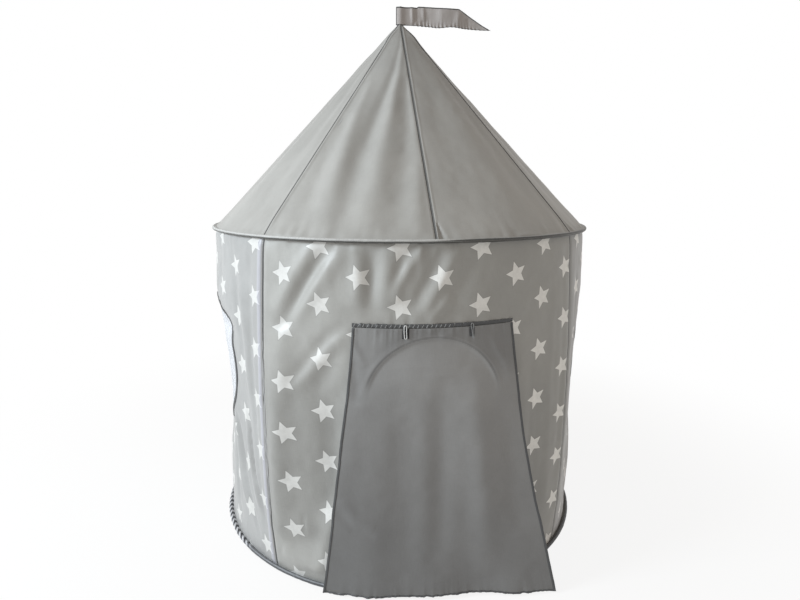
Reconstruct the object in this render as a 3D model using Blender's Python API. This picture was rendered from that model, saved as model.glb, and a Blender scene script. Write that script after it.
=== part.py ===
"""A round play tent with a cone roof, a door flap, two net windows and a flag on its mast.

Metres, +Z up. The tent stands on z = 0 with its centre line on the Z axis, and its door faces -Y.
An azimuth is measured about the centre line from the door's middle, positive towards +X.
"""

import math

import bmesh
import bpy
from mathutils import Vector

# Overall sizes
HOOP_RADIUS = 0.5205
EAVE_HEIGHT = 0.835
APEX_HEIGHT = 1.375
ROOF_TOP_RADIUS = 0.0095

# Cloth, and the clearance between pieces that touch
CLOTH = 0.0010
CLEARANCE = 0.0003

# Hoops: a sprung rod whose ends meet in a ferrule, inside a piping with a sewn flange
HOOP_ROD_RADIUS = 0.0025
HOOP_FERRULE_WALL = 0.0007
HOOP_FERRULE_LENGTH = 0.040
PIPING_WALL = 0.0008
FLANGE_SLOT = 0.0006
FLANGE_OVERRUN = 0.002
WALL_SETBACK = 0.0029
ROOF_FOOT_OVERHANG = 0.0011

# Poles, their fittings and their sleeves
POLE_RADIUS = 0.004
POLE_INSET = 0.012
POLE_FERRULE_WALL = 0.0007
POLE_FERRULE_LENGTH = 0.060
SOCKET_WALL = 0.0027
SOCKET_DEPTH = 0.030
SOCKET_FLOOR = 0.010
RAFTER_DEPTH = 0.0125
HUB_SOCKET_START = 0.016
HUB_BODY_RADIUS = 0.0105
HUB_BODY_DEPTH = 0.016
HUB_BODY_RISE = 0.0035
MAST_SEAT_DEPTH = 0.009
FOOT_CAP_HEIGHT = 0.022
FOOT_CAP_FLOOR = 0.004
SLEEVE_WIDTH = 0.014
SLEEVE_SLACK = 0.0005
SLEEVE_END_GAP = 0.012

# Doorway, its header, its binding and its flap
DOOR_ARCH_RADIUS = 0.152
DOOR_ARCH_CENTRE_HEIGHT = 0.475
DOOR_FOOT_HALF_WIDTH = 0.200
DOOR_SILL_HEIGHT = 0.035
BINDING_WIDTH = 0.009
BINDING_THICKNESS = 0.0007
BINDING_STANDOFF = 0.0005
HEADER_RISE = 0.022
HEADER_HEIGHT = 0.008
HEADER_HALF_ARC = 0.191
HEADER_THICKNESS = 0.0022
FLAP_STANDOFF = 0.0017
FLAP_FOOT_LEFT = 0.251
FLAP_FOOT_RIGHT = 0.292
FLAP_FOOT_CLEARANCE = 0.008
FLAP_KICK_OUT_LEFT = 0.001
FLAP_KICK_OUT_RIGHT = 0.117
FLAP_HEM_HEIGHT = 0.004
FLAP_HEM_LIFT = 0.008
FLAP_FOLD_DEPTH = 0.006
FLAP_HINGE_STANDOFF = 0.0005

# Ties that hold the rolled flap: a cord loop outside and a toggle inside
TIE_LEFT_ARC = -0.067
TIE_RIGHT_ARC = 0.084
LOOP_CORD_RADIUS = 0.0011
LOOP_WIDTH = 0.0105
LOOP_LENGTH = 0.029
TOGGLE_LENGTH = 0.026
TOGGLE_RADIUS = 0.0042
TOGGLE_DROP = 0.024
TOGGLE_CORD_RADIUS = 0.0011
TOGGLE_STANDOFF = 0.0006

# Round net windows in the side walls
WINDOW_RADIUS = 0.170
WINDOW_HEIGHT = 0.478
WINDOW_ARC = 0.742
NET_THICKNESS = 0.0006
NET_OVERLAP = 0.010
NET_STANDOFF = 0.0005
NET_SAG = 0.016

# Flag: a flat pocket over the mast, and a fly with a slanting end
FLAG_GAP = 0.0015
FLAG_HEIGHT = 0.050
FLAG_LENGTH = 0.248
FLAG_TOP_LENGTH = 0.160
FLAG_TIP_DROOP = 0.004
FLAG_WAVE = 0.004
POCKET_BACK = 0.017
POCKET_FRONT = 0.029
MAST_SLACK = 0.0006

# Folds of the cloth
ROOF_FOLD_DEPTH = 0.012
FOLD_SPREAD_SHARE = 0.60
ROOF_HANG = 0.0025
WALL_FOLD_DEPTH = 0.0075
FOLD_MARGIN = 0.035

# Counts of facets
SIDES_PER_WALL = 24
SEAM_FACET_SHARE = 0.12
GORES = 8
HOOP_FACETS = 40
PIPING_SIDES = 8
WALL_ROWS = 8
ROOF_ROWS = 8
FLAP_COLUMNS = 14
FLAP_ROWS = 12
POLE_SIDES = 12
OVERRUN = 0.02

# Sizes that follow from those above
QUARTER = math.pi / 2
HEADER_BOTTOM = DOOR_ARCH_CENTRE_HEIGHT + DOOR_ARCH_RADIUS + HEADER_RISE
HOOP_FERRULE_RADIUS = HOOP_ROD_RADIUS + CLEARANCE + HOOP_FERRULE_WALL
PIPING_BORE = (HOOP_FERRULE_RADIUS + CLEARANCE) / math.cos(math.pi / PIPING_SIDES)
PIPING_RADIUS = PIPING_BORE + PIPING_WALL
HALF_FLANGE = FLANGE_SLOT / 2 + PIPING_WALL
WALL_OUTSIDE = HOOP_RADIUS - PIPING_RADIUS - WALL_SETBACK
WALL_INSIDE = WALL_OUTSIDE - CLOTH
BASE_HOOP_HEIGHT = PIPING_RADIUS
BASE_FLANGE_DROP = CLOTH + CLEARANCE + HALF_FLANGE - BASE_HOOP_HEIGHT
WALL_BOTTOM = BASE_HOOP_HEIGHT + BASE_FLANGE_DROP + HALF_FLANGE + CLEARANCE
WALL_TOP = EAVE_HEIGHT - HALF_FLANGE - CLEARANCE
ROOF_FOOT_HEIGHT = EAVE_HEIGHT + HALF_FLANGE + CLEARANCE
ROOF_FOOT_RADIUS = WALL_OUTSIDE + ROOF_FOOT_OVERHANG
ROOF_SLOPE = math.atan2(APEX_HEIGHT - ROOF_FOOT_HEIGHT, ROOF_FOOT_RADIUS - ROOF_TOP_RADIUS)
POLE_BORE = POLE_RADIUS + CLEARANCE
POLE_FERRULE_RADIUS = POLE_BORE + POLE_FERRULE_WALL
SOCKET_RADIUS = POLE_BORE + SOCKET_WALL
POLE_CIRCLE = WALL_INSIDE - POLE_INSET
SLEEVE_RADIUS = POLE_FERRULE_RADIUS + SLEEVE_SLACK + CLOTH
SOCKET_REACH = SOCKET_FLOOR + SOCKET_DEPTH
POLE_AZIMUTHS = [(turn + 0.5) * QUARTER for turn in range(4)]
POLE_NAMES = ["front_right", "back_right", "back_left", "front_left"]


def roof_height(radius, depth=0.0):
    """Height of the roof cone at a radius, on a line this far below its outer face."""
    drop = (radius - ROOF_TOP_RADIUS) * math.tan(ROOF_SLOPE)
    return APEX_HEIGHT - drop - depth / math.cos(ROOF_SLOPE)


RAFTER_LINE_DEPTH = CLOTH + RAFTER_DEPTH
ELBOW_HEIGHT = roof_height(POLE_CIRCLE, RAFTER_LINE_DEPTH)
HUB_HEIGHT = roof_height(0.0, RAFTER_LINE_DEPTH)
FLAG_BOTTOM = APEX_HEIGHT + FLAG_GAP
FLAG_TOP = FLAG_BOTTOM + FLAG_HEIGHT


def make_material(name, colour, roughness, metallic=0.0):
    """A plain material in one colour."""
    material = bpy.data.materials.new(name)
    material.use_nodes = True
    shader = material.node_tree.nodes["Principled BSDF"]
    shader.inputs["Base Color"].default_value = (*colour, 1.0)
    shader.inputs["Roughness"].default_value = roughness
    shader.inputs["Metallic"].default_value = metallic
    return material


def point_at(azimuth, radius, height):
    """A point at an azimuth and a radius from the tent's centre line."""
    return Vector((radius * math.sin(azimuth), -radius * math.cos(azimuth), height))


def mesh_from(name, points, faces):
    """A closed mesh whose faces point outwards."""
    mesh = bpy.data.meshes.new(name)
    mesh.from_pydata([tuple(point) for point in points], [], faces)
    work = bmesh.new()
    work.from_mesh(mesh)
    bmesh.ops.recalc_face_normals(work, faces=work.faces)
    work.to_mesh(mesh)
    work.free()
    mesh.shade_smooth()
    mesh.set_sharp_from_angle(angle=math.radians(35))
    return mesh


def place(name, mesh, material, azimuth=0.0):
    """An object that shows the mesh, turned about the centre line."""
    mesh.materials.clear()
    mesh.materials.append(material)
    placed = bpy.data.objects.new(name, mesh)
    placed.rotation_euler.z = azimuth
    bpy.context.scene.collection.objects.link(placed)
    return placed


def swept_mesh(name, sections, around=False):
    """A solid through equal closed sections, joined back to the first where it goes around."""
    size = len(sections[0])
    points = [point for section in sections for point in section]
    faces = []
    spans = len(sections) if around else len(sections) - 1
    for span in range(spans):
        here = span * size
        there = (span + 1) % len(sections) * size
        for side in range(size):
            after = (side + 1) % size
            faces.append((here + side, here + after, there + after, there + side))
    if not around:
        faces.append(tuple(range(size)))
        faces.append(tuple(len(points) - size + side for side in range(size)))
    return mesh_from(name, points, faces)


def cloth_mesh(name, outside, inside, around=False):
    """A sheet between two equal grids of points, given as columns."""
    columns, rows = len(outside), len(outside[0])
    points = [point for grid in (outside, inside) for column in grid for point in column]

    def index(layer, column, row):
        return (layer * columns + column % columns) * rows + row

    faces = []
    for column in range(columns if around else columns - 1):
        for layer in (0, 1):
            for row in range(rows - 1):
                faces.append((index(layer, column, row), index(layer, column + 1, row),
                              index(layer, column + 1, row + 1), index(layer, column, row + 1)))
        for row in (0, rows - 1):
            faces.append((index(0, column, row), index(0, column + 1, row),
                          index(1, column + 1, row), index(1, column, row)))
    if not around:
        for column in (0, columns - 1):
            for row in range(rows - 1):
                faces.append((index(0, column, row), index(0, column, row + 1),
                              index(1, column, row + 1), index(1, column, row)))
    return mesh_from(name, points, faces)


def rod_sections(start, end, radius, sides=POLE_SIDES, across=Vector((1, 0, 0))):
    """Two round sections at the ends of a straight rod."""
    along = (end - start).normalized()
    other = along.cross(across).normalized()
    side = other.cross(along)
    turns = [2 * math.pi * (step + 0.5) / sides for step in range(sides)]
    ring = [side * math.cos(turn) * radius + other * math.sin(turn) * radius for turn in turns]
    return [[end_point + offset for offset in ring] for end_point in (start, end)]


def rod_mesh(name, start, end, radius):
    """A straight round rod."""
    return swept_mesh(name, rod_sections(start, end, radius))


def tube_mesh(name, start, end, radius, bore):
    """A straight round tube, open at both ends."""
    outside = rod_sections(start, end, radius)
    inside = rod_sections(start, end, bore)
    columns = [[outside[0][side], outside[1][side], inside[1][side], inside[0][side]]
               for side in range(POLE_SIDES)]
    return swept_mesh(name, columns, around=True)


def tool(mesh):
    """An object that only cuts or joins another."""
    made = bpy.data.objects.new(mesh.name, mesh)
    made.hide_render = True
    made.display_type = "WIRE"
    bpy.context.scene.collection.objects.link(made)
    return made


def combine(target, mesh, operation):
    """Cuts the mesh from the target, or joins it on."""
    modifier = target.modifiers.new(mesh.name, "BOOLEAN")
    modifier.operation = operation
    modifier.solver = "EXACT"
    modifier.object = tool(mesh)


def applied_mesh(name, base, joined, cut):
    """One mesh made of the base and what is joined to it, less what is cut away."""
    work = tool(base)
    for mesh in joined:
        combine(work, mesh, "UNION")
    for mesh in cut:
        combine(work, mesh, "DIFFERENCE")
    graph = bpy.context.evaluated_depsgraph_get()
    result = bpy.data.meshes.new_from_object(work.evaluated_get(graph))
    result.name = name
    for modifier in list(work.modifiers):
        bpy.data.objects.remove(modifier.object)
    bpy.data.objects.remove(work)
    result.shade_smooth()
    result.set_sharp_from_angle(angle=math.radians(35))
    return result


def smooth_step(value):
    """Rises smoothly from 0 to 1 as the value goes from 0 to 1."""
    clipped = min(max(value, 0.0), 1.0)
    return clipped * clipped * (3 - 2 * clipped)


# The roof's fold lines, gore by gore, turning right from the front seam. Each is its share across
# the gore at the foot and at the tip, and its share of the fold depth, outwards where positive.
FRONT_RIGHT_FOLD_SHARES = [
    (SEAM_FACET_SHARE, SEAM_FACET_SHARE, 0.0), (0.25, 0.36, -0.35), (0.38, 0.46, 0.0), (0.52, 0.60, 0.45),
    (0.66, 0.70, 0.10), (0.78, 0.78, -0.30), (1 - SEAM_FACET_SHARE, 1 - SEAM_FACET_SHARE, 0.0),
]
FRONT_LEFT_FOLD_SHARES = [
    (SEAM_FACET_SHARE, SEAM_FACET_SHARE, 0.0), (0.22, 0.20, -0.55), (0.38, 0.30, 0.80),
    (0.46, 0.64, -1.0),
    (0.61, 0.78, 0.85), (0.77, 0.92, -0.65), (0.90, 0.97, 0.30),
]


def plain_fold_shares(gore):
    """The fold lines of a gore that the photo doesn't show: two valleys beside a ridge."""
    lean = 0.10 * math.sin(1.7 * gore)
    strong = 0.55 + 0.15 * math.cos(2.3 * gore)
    weak = strong - 0.20
    return [
        (SEAM_FACET_SHARE, SEAM_FACET_SHARE, 0.0), (0.25, 0.25 + lean / 2, -strong),
        (0.38, 0.38 + lean, 0.0), (0.50, 0.50 + lean, weak), (0.62, 0.62 + lean, 0.0),
        (0.75, 0.75 + lean / 2, -weak), (1 - SEAM_FACET_SHARE, 1 - SEAM_FACET_SHARE, 0.0),
    ]


def roof_columns():
    """Each column of the roof's faces as its azimuth at the foot and the tip, and its depth share."""
    gore_turn = 2 * math.pi / GORES
    columns = []
    for gore in range(GORES):
        shares = plain_fold_shares(gore)
        if gore == 0:
            shares = FRONT_RIGHT_FOLD_SHARES
        if gore == GORES - 1:
            shares = FRONT_LEFT_FOLD_SHARES
        for foot, tip, depth in [(0.0, 0.0, 0.0)] + shares:
            columns.append(((gore + foot) * gore_turn, (gore + tip) * gore_turn, depth))
    return columns


def build_roof(cloth):
    """The roof cone: eight gores that hang a little between their seams and lie in folds."""

    def stand_off(azimuth, depth_share, share, radius):
        across = azimuth / (2 * math.pi / GORES) % 1.0
        along = math.sin(math.pi * share) ** 0.6 if 0 < share < 1 else 0.0
        past_pole = abs(azimuth % QUARTER - QUARTER / 2) * radius
        flat = SLEEVE_WIDTH + 2 * math.pi / GORES * SEAM_FACET_SHARE * radius
        seam = smooth_step((past_pole - flat) / FOLD_MARGIN)
        hang = ROOF_HANG * math.sin(math.pi * across) ** 2
        spread = smooth_step(radius / ROOF_FOOT_RADIUS / FOLD_SPREAD_SHARE)
        return (ROOF_FOLD_DEPTH * depth_share * spread - hang) * seam * along

    outside, inside = [], []
    for foot_azimuth, tip_azimuth, depth_share in roof_columns():
        outer, inner = [], []
        for row in range(ROOF_ROWS + 1):
            share = row / ROOF_ROWS
            azimuth = foot_azimuth + (tip_azimuth - foot_azimuth) * share
            radius = ROOF_FOOT_RADIUS + (ROOF_TOP_RADIUS - ROOF_FOOT_RADIUS) * share
            off = stand_off(azimuth, depth_share, share, radius)
            face_radius = radius + off * math.sin(ROOF_SLOPE)
            face_height = roof_height(radius) + off * math.cos(ROOF_SLOPE)
            outer.append(point_at(azimuth, face_radius, face_height))
            inner.append(point_at(azimuth, face_radius - CLOTH / math.sin(ROOF_SLOPE), face_height))
        outside.append(outer)
        inside.append(inner)
    place("roof_canopy", cloth_mesh("roof_canopy", outside, inside, around=True), cloth)


# Each fold is its share across the wall at the top and at the foot, its width as a share of the
# wall's, and its share of the fold depth, inwards where positive.
WALL_FOLD_SHARES = {
    "front_wall": [(0.34, 0.14, 0.07, 0.85), (0.24, 0.08, 0.06, 0.85), (0.86, 0.91, 0.06, 0.6)],
    "right_wall": [(0.80, 0.86, 0.07, 0.85), (0.92, 0.88, 0.05, 0.85)],
    "back_wall": [
        (0.08 + 0.105 * step, 0.08 + 0.105 * step - 0.03 * math.sin(2.1 * step), 0.034, -(-1) ** step)
        for step in range(9)
    ],
    "left_wall": [(0.20, 0.14, 0.07, 0.85), (0.08, 0.12, 0.05, 0.85)],
}


def opening_margin(name, azimuth, height):
    """0 over a wall's opening and what is sewn round it, rising to 1 clear of them."""
    arc = azimuth * WALL_OUTSIDE
    if name == "front_wall":
        beside = abs(arc) - HEADER_HALF_ARC
        above = height - HEADER_BOTTOM - HEADER_HEIGHT
        return smooth_step(max(beside, above) / FOLD_MARGIN - 0.5)
    if name in ("left_wall", "right_wall"):
        away = math.hypot(abs(arc) - WINDOW_ARC, height - WINDOW_HEIGHT)
        return smooth_step((away - WINDOW_RADIUS - BINDING_WIDTH) / FOLD_MARGIN - 0.5)
    return 1.0


def wall_fold(name, share, azimuth, height):
    """How far the folds draw a wall's face inwards."""
    up = (height - WALL_BOTTOM) / (WALL_TOP - WALL_BOTTOM)
    total = 0.0
    for top_share, foot_share, width_share, depth_share in WALL_FOLD_SHARES[name]:
        middle = foot_share + (top_share - foot_share) * up
        total += depth_share * math.exp(-(((share - middle) / width_share) ** 2))
    arc_to_seam = min(share, 1 - share) * QUARTER * WALL_OUTSIDE
    first_facet = QUARTER / SIDES_PER_WALL * WALL_OUTSIDE
    seam = smooth_step((arc_to_seam - first_facet) / FOLD_MARGIN)
    ends = math.sin(math.pi * up) ** 0.6 if 0 < up < 1 else 0.0
    signed = azimuth if azimuth < math.pi else azimuth - 2 * math.pi
    return WALL_FOLD_DEPTH * total * seam * ends * opening_margin(name, signed, height)


def wall_mesh(name, middle):
    """A quarter of the wall, whose ends meet the next quarters at the pole sleeves."""
    half = QUARTER / 2 - CLEARANCE / WALL_OUTSIDE
    outside, inside = [], []
    for side in range(SIDES_PER_WALL + 1):
        share = side / SIDES_PER_WALL
        azimuth = middle - half + 2 * half * share
        outer, inner = [], []
        for row in range(WALL_ROWS + 1):
            height = WALL_BOTTOM + (WALL_TOP - WALL_BOTTOM) * row / WALL_ROWS
            radius = WALL_OUTSIDE - wall_fold(name, share, azimuth % (2 * math.pi), height)
            outer.append(point_at(azimuth, radius, height))
            inner.append(point_at(azimuth, radius - CLOTH, height))
        outside.append(outer)
        inside.append(inner)
    return cloth_mesh(name, outside, inside)


def door_outline(grow, steps=14):
    """The doorway's outline seen from the front, grown by a width, as (arc, height) pairs."""
    arch = DOOR_ARCH_RADIUS + grow
    foot = DOOR_FOOT_HALF_WIDTH + grow
    sill = DOOR_SILL_HEIGHT - grow
    points = []
    for step in range(steps + 1):
        turn = math.pi * step / steps
        points.append((arch * math.cos(turn), DOOR_ARCH_CENTRE_HEIGHT + arch * math.sin(turn)))
    jamb_steps = 5
    for step in range(1, jamb_steps + 1):
        share = step / jamb_steps
        height = DOOR_ARCH_CENTRE_HEIGHT + (sill - DOOR_ARCH_CENTRE_HEIGHT) * share
        points.append((-arch + (arch - foot) * share, height))
    sill_steps = 16
    for step in range(1, sill_steps + 1):
        points.append((-foot + 2 * foot * step / sill_steps, sill))
    for step in range(1, jamb_steps):
        share = step / jamb_steps
        height = sill + (DOOR_ARCH_CENTRE_HEIGHT - sill) * share
        points.append((foot + (arch - foot) * share, height))
    return points


def window_outline(arc, grow, steps=32):
    """A window's outline seen from outside, grown by a width, as (arc, height) pairs."""
    radius = WINDOW_RADIUS + grow
    turns = [2 * math.pi * step / steps for step in range(steps)]
    return [(arc + radius * math.cos(turn), WINDOW_HEIGHT + radius * math.sin(turn)) for turn in turns]


def on_wall(arc, height, standoff):
    """A point off the wall's outer face, at an arc length from the door's middle."""
    return point_at(arc / WALL_OUTSIDE, WALL_OUTSIDE + standoff, height)


def through_wall_mesh(name, outline):
    """A prism that runs through the wall along the outline's middle direction."""
    middle = sum(arc for arc, _ in outline) / len(outline)
    out = on_wall(middle, 0.0, OVERRUN) - on_wall(middle, 0.0, 0.0)
    near = [on_wall(arc, height, 0.0) + out for arc, height in outline]
    deepest = max((point - near[0]).dot(out.normalized()) for point in near)
    depth = [deepest - (point - near[0]).dot(out.normalized()) for point in near]
    front = [point + out.normalized() * shift for point, shift in zip(near, depth)]
    spread = max(depth) + 2 * out.length
    back = [point - out.normalized() * spread for point in front]
    return swept_mesh(name, [front, back])


def binding_mesh(name, inner_outline, outer_outline):
    """A tape sewn round an opening, on the wall's outer face."""
    near, far = BINDING_STANDOFF, BINDING_STANDOFF + BINDING_THICKNESS
    sections = [[on_wall(*inner, near), on_wall(*outer, near), on_wall(*outer, far), on_wall(*inner, far)]
                for inner, outer in zip(inner_outline, outer_outline)]
    return swept_mesh(name, sections, around=True)


def build_front_wall(print_cloth, trim):
    """The front wall with its arched doorway and the tape round it."""
    base = wall_mesh("front_wall", 0.0)
    opening = through_wall_mesh("doorway_cutter", door_outline(0.0))
    place("front_wall", applied_mesh("front_wall", base, [], [opening]), print_cloth)
    edge = binding_mesh("doorway_binding", door_outline(CLEARANCE), door_outline(BINDING_WIDTH))
    place("doorway_binding", edge, trim)


def net_mesh(name, arc, rings=3, steps=24):
    """A round net behind a window, drawn tight between the edges of the curved wall."""
    radius = WINDOW_RADIUS + NET_OVERLAP

    def point(ring, step, depth):
        reach = radius * ring / rings
        turn = 2 * math.pi * step / steps
        sag = NET_SAG * max(0.0, 1 - (reach / WINDOW_RADIUS) ** 2)
        standoff = -CLOTH - NET_STANDOFF - depth - sag
        return on_wall(arc + reach * math.cos(turn), WINDOW_HEIGHT + reach * math.sin(turn), standoff)

    points, faces = [], []
    for depth in (0.0, NET_THICKNESS):
        points.append(point(0, 0, depth))
        points.extend(point(ring, step, depth) for ring in range(1, rings + 1) for step in range(steps))
    layer = len(points) // 2

    def index(side, ring, step):
        return side * layer + 1 + (ring - 1) * steps + step % steps

    for side in (0, 1):
        for step in range(steps):
            faces.append((side * layer, index(side, 1, step), index(side, 1, step + 1)))
            for ring in range(1, rings):
                faces.append((index(side, ring, step), index(side, ring + 1, step),
                              index(side, ring + 1, step + 1), index(side, ring, step + 1)))
    for step in range(steps):
        faces.append((index(0, rings, step), index(1, rings, step),
                      index(1, rings, step + 1), index(0, rings, step + 1)))
    return mesh_from(name, points, faces)


def build_side_wall(side, sign, print_cloth, trim, net):
    """A side wall with its round window, the tape round it and the net behind it."""
    arc = sign * WINDOW_ARC
    name = side + "_wall"
    base = wall_mesh(name, sign * QUARTER)
    opening = through_wall_mesh(side + "_window_cutter", window_outline(arc, 0.0))
    place(name, applied_mesh(name, base, [], [opening]), print_cloth)
    tape = side + "_window_binding"
    edge = binding_mesh(tape, window_outline(arc, CLEARANCE), window_outline(arc, BINDING_WIDTH))
    place(tape, edge, trim)
    place(side + "_window_net", net_mesh(side + "_window_net", arc), net)


def piping_profile(height, flange_drop):
    """The section of a piping: a tube round the hoop whose two lips make the sewn flange."""
    upper, lower = flange_drop + HALF_FLANGE, flange_drop - HALF_FLANGE
    slot_top, slot_bottom = flange_drop + FLANGE_SLOT / 2, flange_drop - FLANGE_SLOT / 2
    lip_end = WALL_INSIDE - FLANGE_OVERRUN
    start, end = math.pi - math.asin(upper / PIPING_RADIUS), -math.pi - math.asin(lower / PIPING_RADIUS)
    steps = PIPING_SIDES
    outer = [start + (end - start) * step / steps for step in range(steps + 1)]
    bore_start = -math.pi - math.asin(slot_bottom / PIPING_BORE)
    bore_end = math.pi - math.asin(slot_top / PIPING_BORE)
    bore = [bore_start + (bore_end - bore_start) * step / steps for step in range(steps + 1)]
    profile = [(lip_end, height + upper)]
    profile += [(HOOP_RADIUS + PIPING_RADIUS * math.cos(turn), height + PIPING_RADIUS * math.sin(turn))
                for turn in outer]
    profile += [(lip_end, height + lower), (lip_end, height + slot_bottom)]
    profile += [(HOOP_RADIUS + PIPING_BORE * math.cos(turn), height + PIPING_BORE * math.sin(turn))
                for turn in bore]
    profile += [(lip_end, height + slot_top)]
    return profile


def build_hoop(name, height, flange_drop, rod, metal, trim):
    """A sprung hoop, the ferrule that joins its ends at the back, and the piping round both."""
    corners = [math.pi + 2 * math.pi * (step + 0.5) / HOOP_FACETS for step in range(HOOP_FACETS)]
    profile = piping_profile(height, flange_drop)
    sections = [[point_at(azimuth, radius, z) for radius, z in profile] for azimuth in corners]
    place(name + "_piping", swept_mesh(name + "_piping", sections, around=True), trim)

    flat = HOOP_RADIUS * math.cos(math.pi / HOOP_FACETS)
    sides = 6
    turns = [2 * math.pi * (step + 0.5) / sides for step in range(sides)]

    def rod_section(azimuth, radius):
        return [point_at(azimuth, radius + HOOP_ROD_RADIUS * math.cos(turn),
                         height + HOOP_ROD_RADIUS * math.sin(turn)) for turn in turns]

    half_split = CLEARANCE / HOOP_RADIUS
    rods = [rod_section(math.pi + half_split, flat)]
    rods += [rod_section(azimuth, HOOP_RADIUS) for azimuth in corners]
    rods += [rod_section(math.pi - half_split, flat)]
    place(name + "_hoop", swept_mesh(name + "_hoop", rods), rod)

    middle = point_at(math.pi, flat, height)
    reach = Vector((HOOP_FERRULE_LENGTH / 2, 0, 0))
    outer = rod_sections(middle - reach, middle + reach, HOOP_FERRULE_RADIUS, across=Vector((0, 0, 1)))
    inner = rod_sections(middle - reach, middle + reach, HOOP_ROD_RADIUS + CLEARANCE,
                         across=Vector((0, 0, 1)))
    columns = [[outer[0][side], outer[1][side], inner[1][side], inner[0][side]]
               for side in range(POLE_SIDES)]
    place(name + "_hoop_ferrule", swept_mesh(name + "_hoop_ferrule", columns, around=True), metal)


def build_groundsheet(cloth):
    """The round groundsheet under the base piping's flange."""
    edge = WALL_OUTSIDE + ROOF_FOOT_OVERHANG
    sections = [[point_at(2 * math.pi * step / HOOP_FACETS, edge, height) for step in range(HOOP_FACETS)]
                for height in (0.0, CLOTH)]
    place("groundsheet", swept_mesh("groundsheet", sections), cloth)


def sleeve_section(depth, bend, arc_steps=4):
    """A pole sleeve's section as (across, inwards) pairs: two flanges and a channel round the pole.

    The bend says how far the sheet that carries the flanges falls back at a distance across.
    """
    bore = SLEEVE_RADIUS - CLOTH
    turns = [math.pi * step / arc_steps for step in range(arc_steps + 1)]
    edge = CLEARANCE + bend(SLEEVE_WIDTH)
    root = CLEARANCE + bend(SLEEVE_RADIUS)
    near = [(-SLEEVE_WIDTH, edge), (-bore, root)]
    near += [(-bore * math.cos(turn), depth + bore * math.sin(turn)) for turn in turns]
    near += [(bore, root), (SLEEVE_WIDTH, edge)]
    far = [(SLEEVE_WIDTH, edge + CLOTH), (SLEEVE_RADIUS, root + CLOTH)]
    far += [(SLEEVE_RADIUS * math.cos(turn), depth + SLEEVE_RADIUS * math.sin(turn)) for turn in turns]
    far += [(-SLEEVE_RADIUS, root + CLOTH), (-SLEEVE_WIDTH, edge + CLOTH)]
    return near + far


def upright_sleeve_mesh(bottom, top):
    """A channel sewn to the inside of the wall's corner seam."""
    fall = math.tan(QUARTER / SIDES_PER_WALL / 2)
    section = sleeve_section(POLE_INSET, lambda across: across * fall)
    sections = [[Vector((across, -WALL_INSIDE + inwards, height)) for across, inwards in section]
                for height in (bottom, top)]
    return swept_mesh("upright_sleeve", sections)


def rafter_sleeve_mesh(low_radius, high_radius, stations=5):
    """A channel sewn under a roof seam."""
    facet = math.pi / GORES * SEAM_FACET_SHARE
    sections = []
    for station in range(stations):
        radius = low_radius + (high_radius - low_radius) * station / (stations - 1)

        def bend(across, radius=radius):
            rounding = radius - math.sqrt(radius * radius - across * across)
            return (rounding + radius * (1 - math.cos(facet))) * math.sin(ROOF_SLOPE)

        face = Vector((0, -radius, roof_height(radius, CLOTH)))
        inwards_way = Vector((0, math.sin(ROOF_SLOPE), -math.cos(ROOF_SLOPE)))
        sections.append([face + Vector((across, 0, 0)) + inwards_way * inwards
                         for across, inwards in sleeve_section(RAFTER_DEPTH, bend)])
    return swept_mesh("rafter_sleeve", sections)


def elbow_mesh(corner, up_slope, stations=5):
    """The bent fitting at the eave, with a socket for the upright and one for the rafter."""
    down = Vector((0, 0, -1))
    across = Vector((1, 0, 0))
    route = [corner + down * SOCKET_REACH]
    for station in range(stations):
        share = station / (stations - 1)
        route.append(corner + (down * (1 - share) ** 2 + up_slope * share ** 2) * SOCKET_FLOOR)
    route.append(corner + up_slope * SOCKET_REACH)
    ways = [-down] + [(-down * (1 - station / (stations - 1)) + up_slope * station / (stations - 1))
                      for station in range(stations)] + [up_slope]
    sections = []
    for centre, way in zip(route, ways):
        other = across.cross(way.normalized())
        turns = [2 * math.pi * (step + 0.5) / POLE_SIDES for step in range(POLE_SIDES)]
        sections.append([centre + (across * math.cos(turn) + other * math.sin(turn)) * SOCKET_RADIUS
                         for turn in turns])
    bores = [rod_mesh("elbow_bore", corner + way * SOCKET_FLOOR, corner + way * (SOCKET_REACH + OVERRUN),
                      POLE_BORE) for way in (down, up_slope)]
    return applied_mesh("elbow", swept_mesh("elbow_bend", sections), [], bores)


def foot_cap_mesh(bottom):
    """A cup on the upright's foot."""
    centre = Vector((0, -POLE_CIRCLE, 0))
    low, high = Vector((0, 0, bottom)), Vector((0, 0, bottom + FOOT_CAP_HEIGHT))
    cup = rod_mesh("foot_cap", centre + low, centre + high, SOCKET_RADIUS)
    bore = rod_mesh("foot_bore", centre + low + Vector((0, 0, FOOT_CAP_FLOOR)),
                    centre + high + Vector((0, 0, OVERRUN)), POLE_BORE)
    return applied_mesh("foot_cap", cup, [], [bore])


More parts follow.
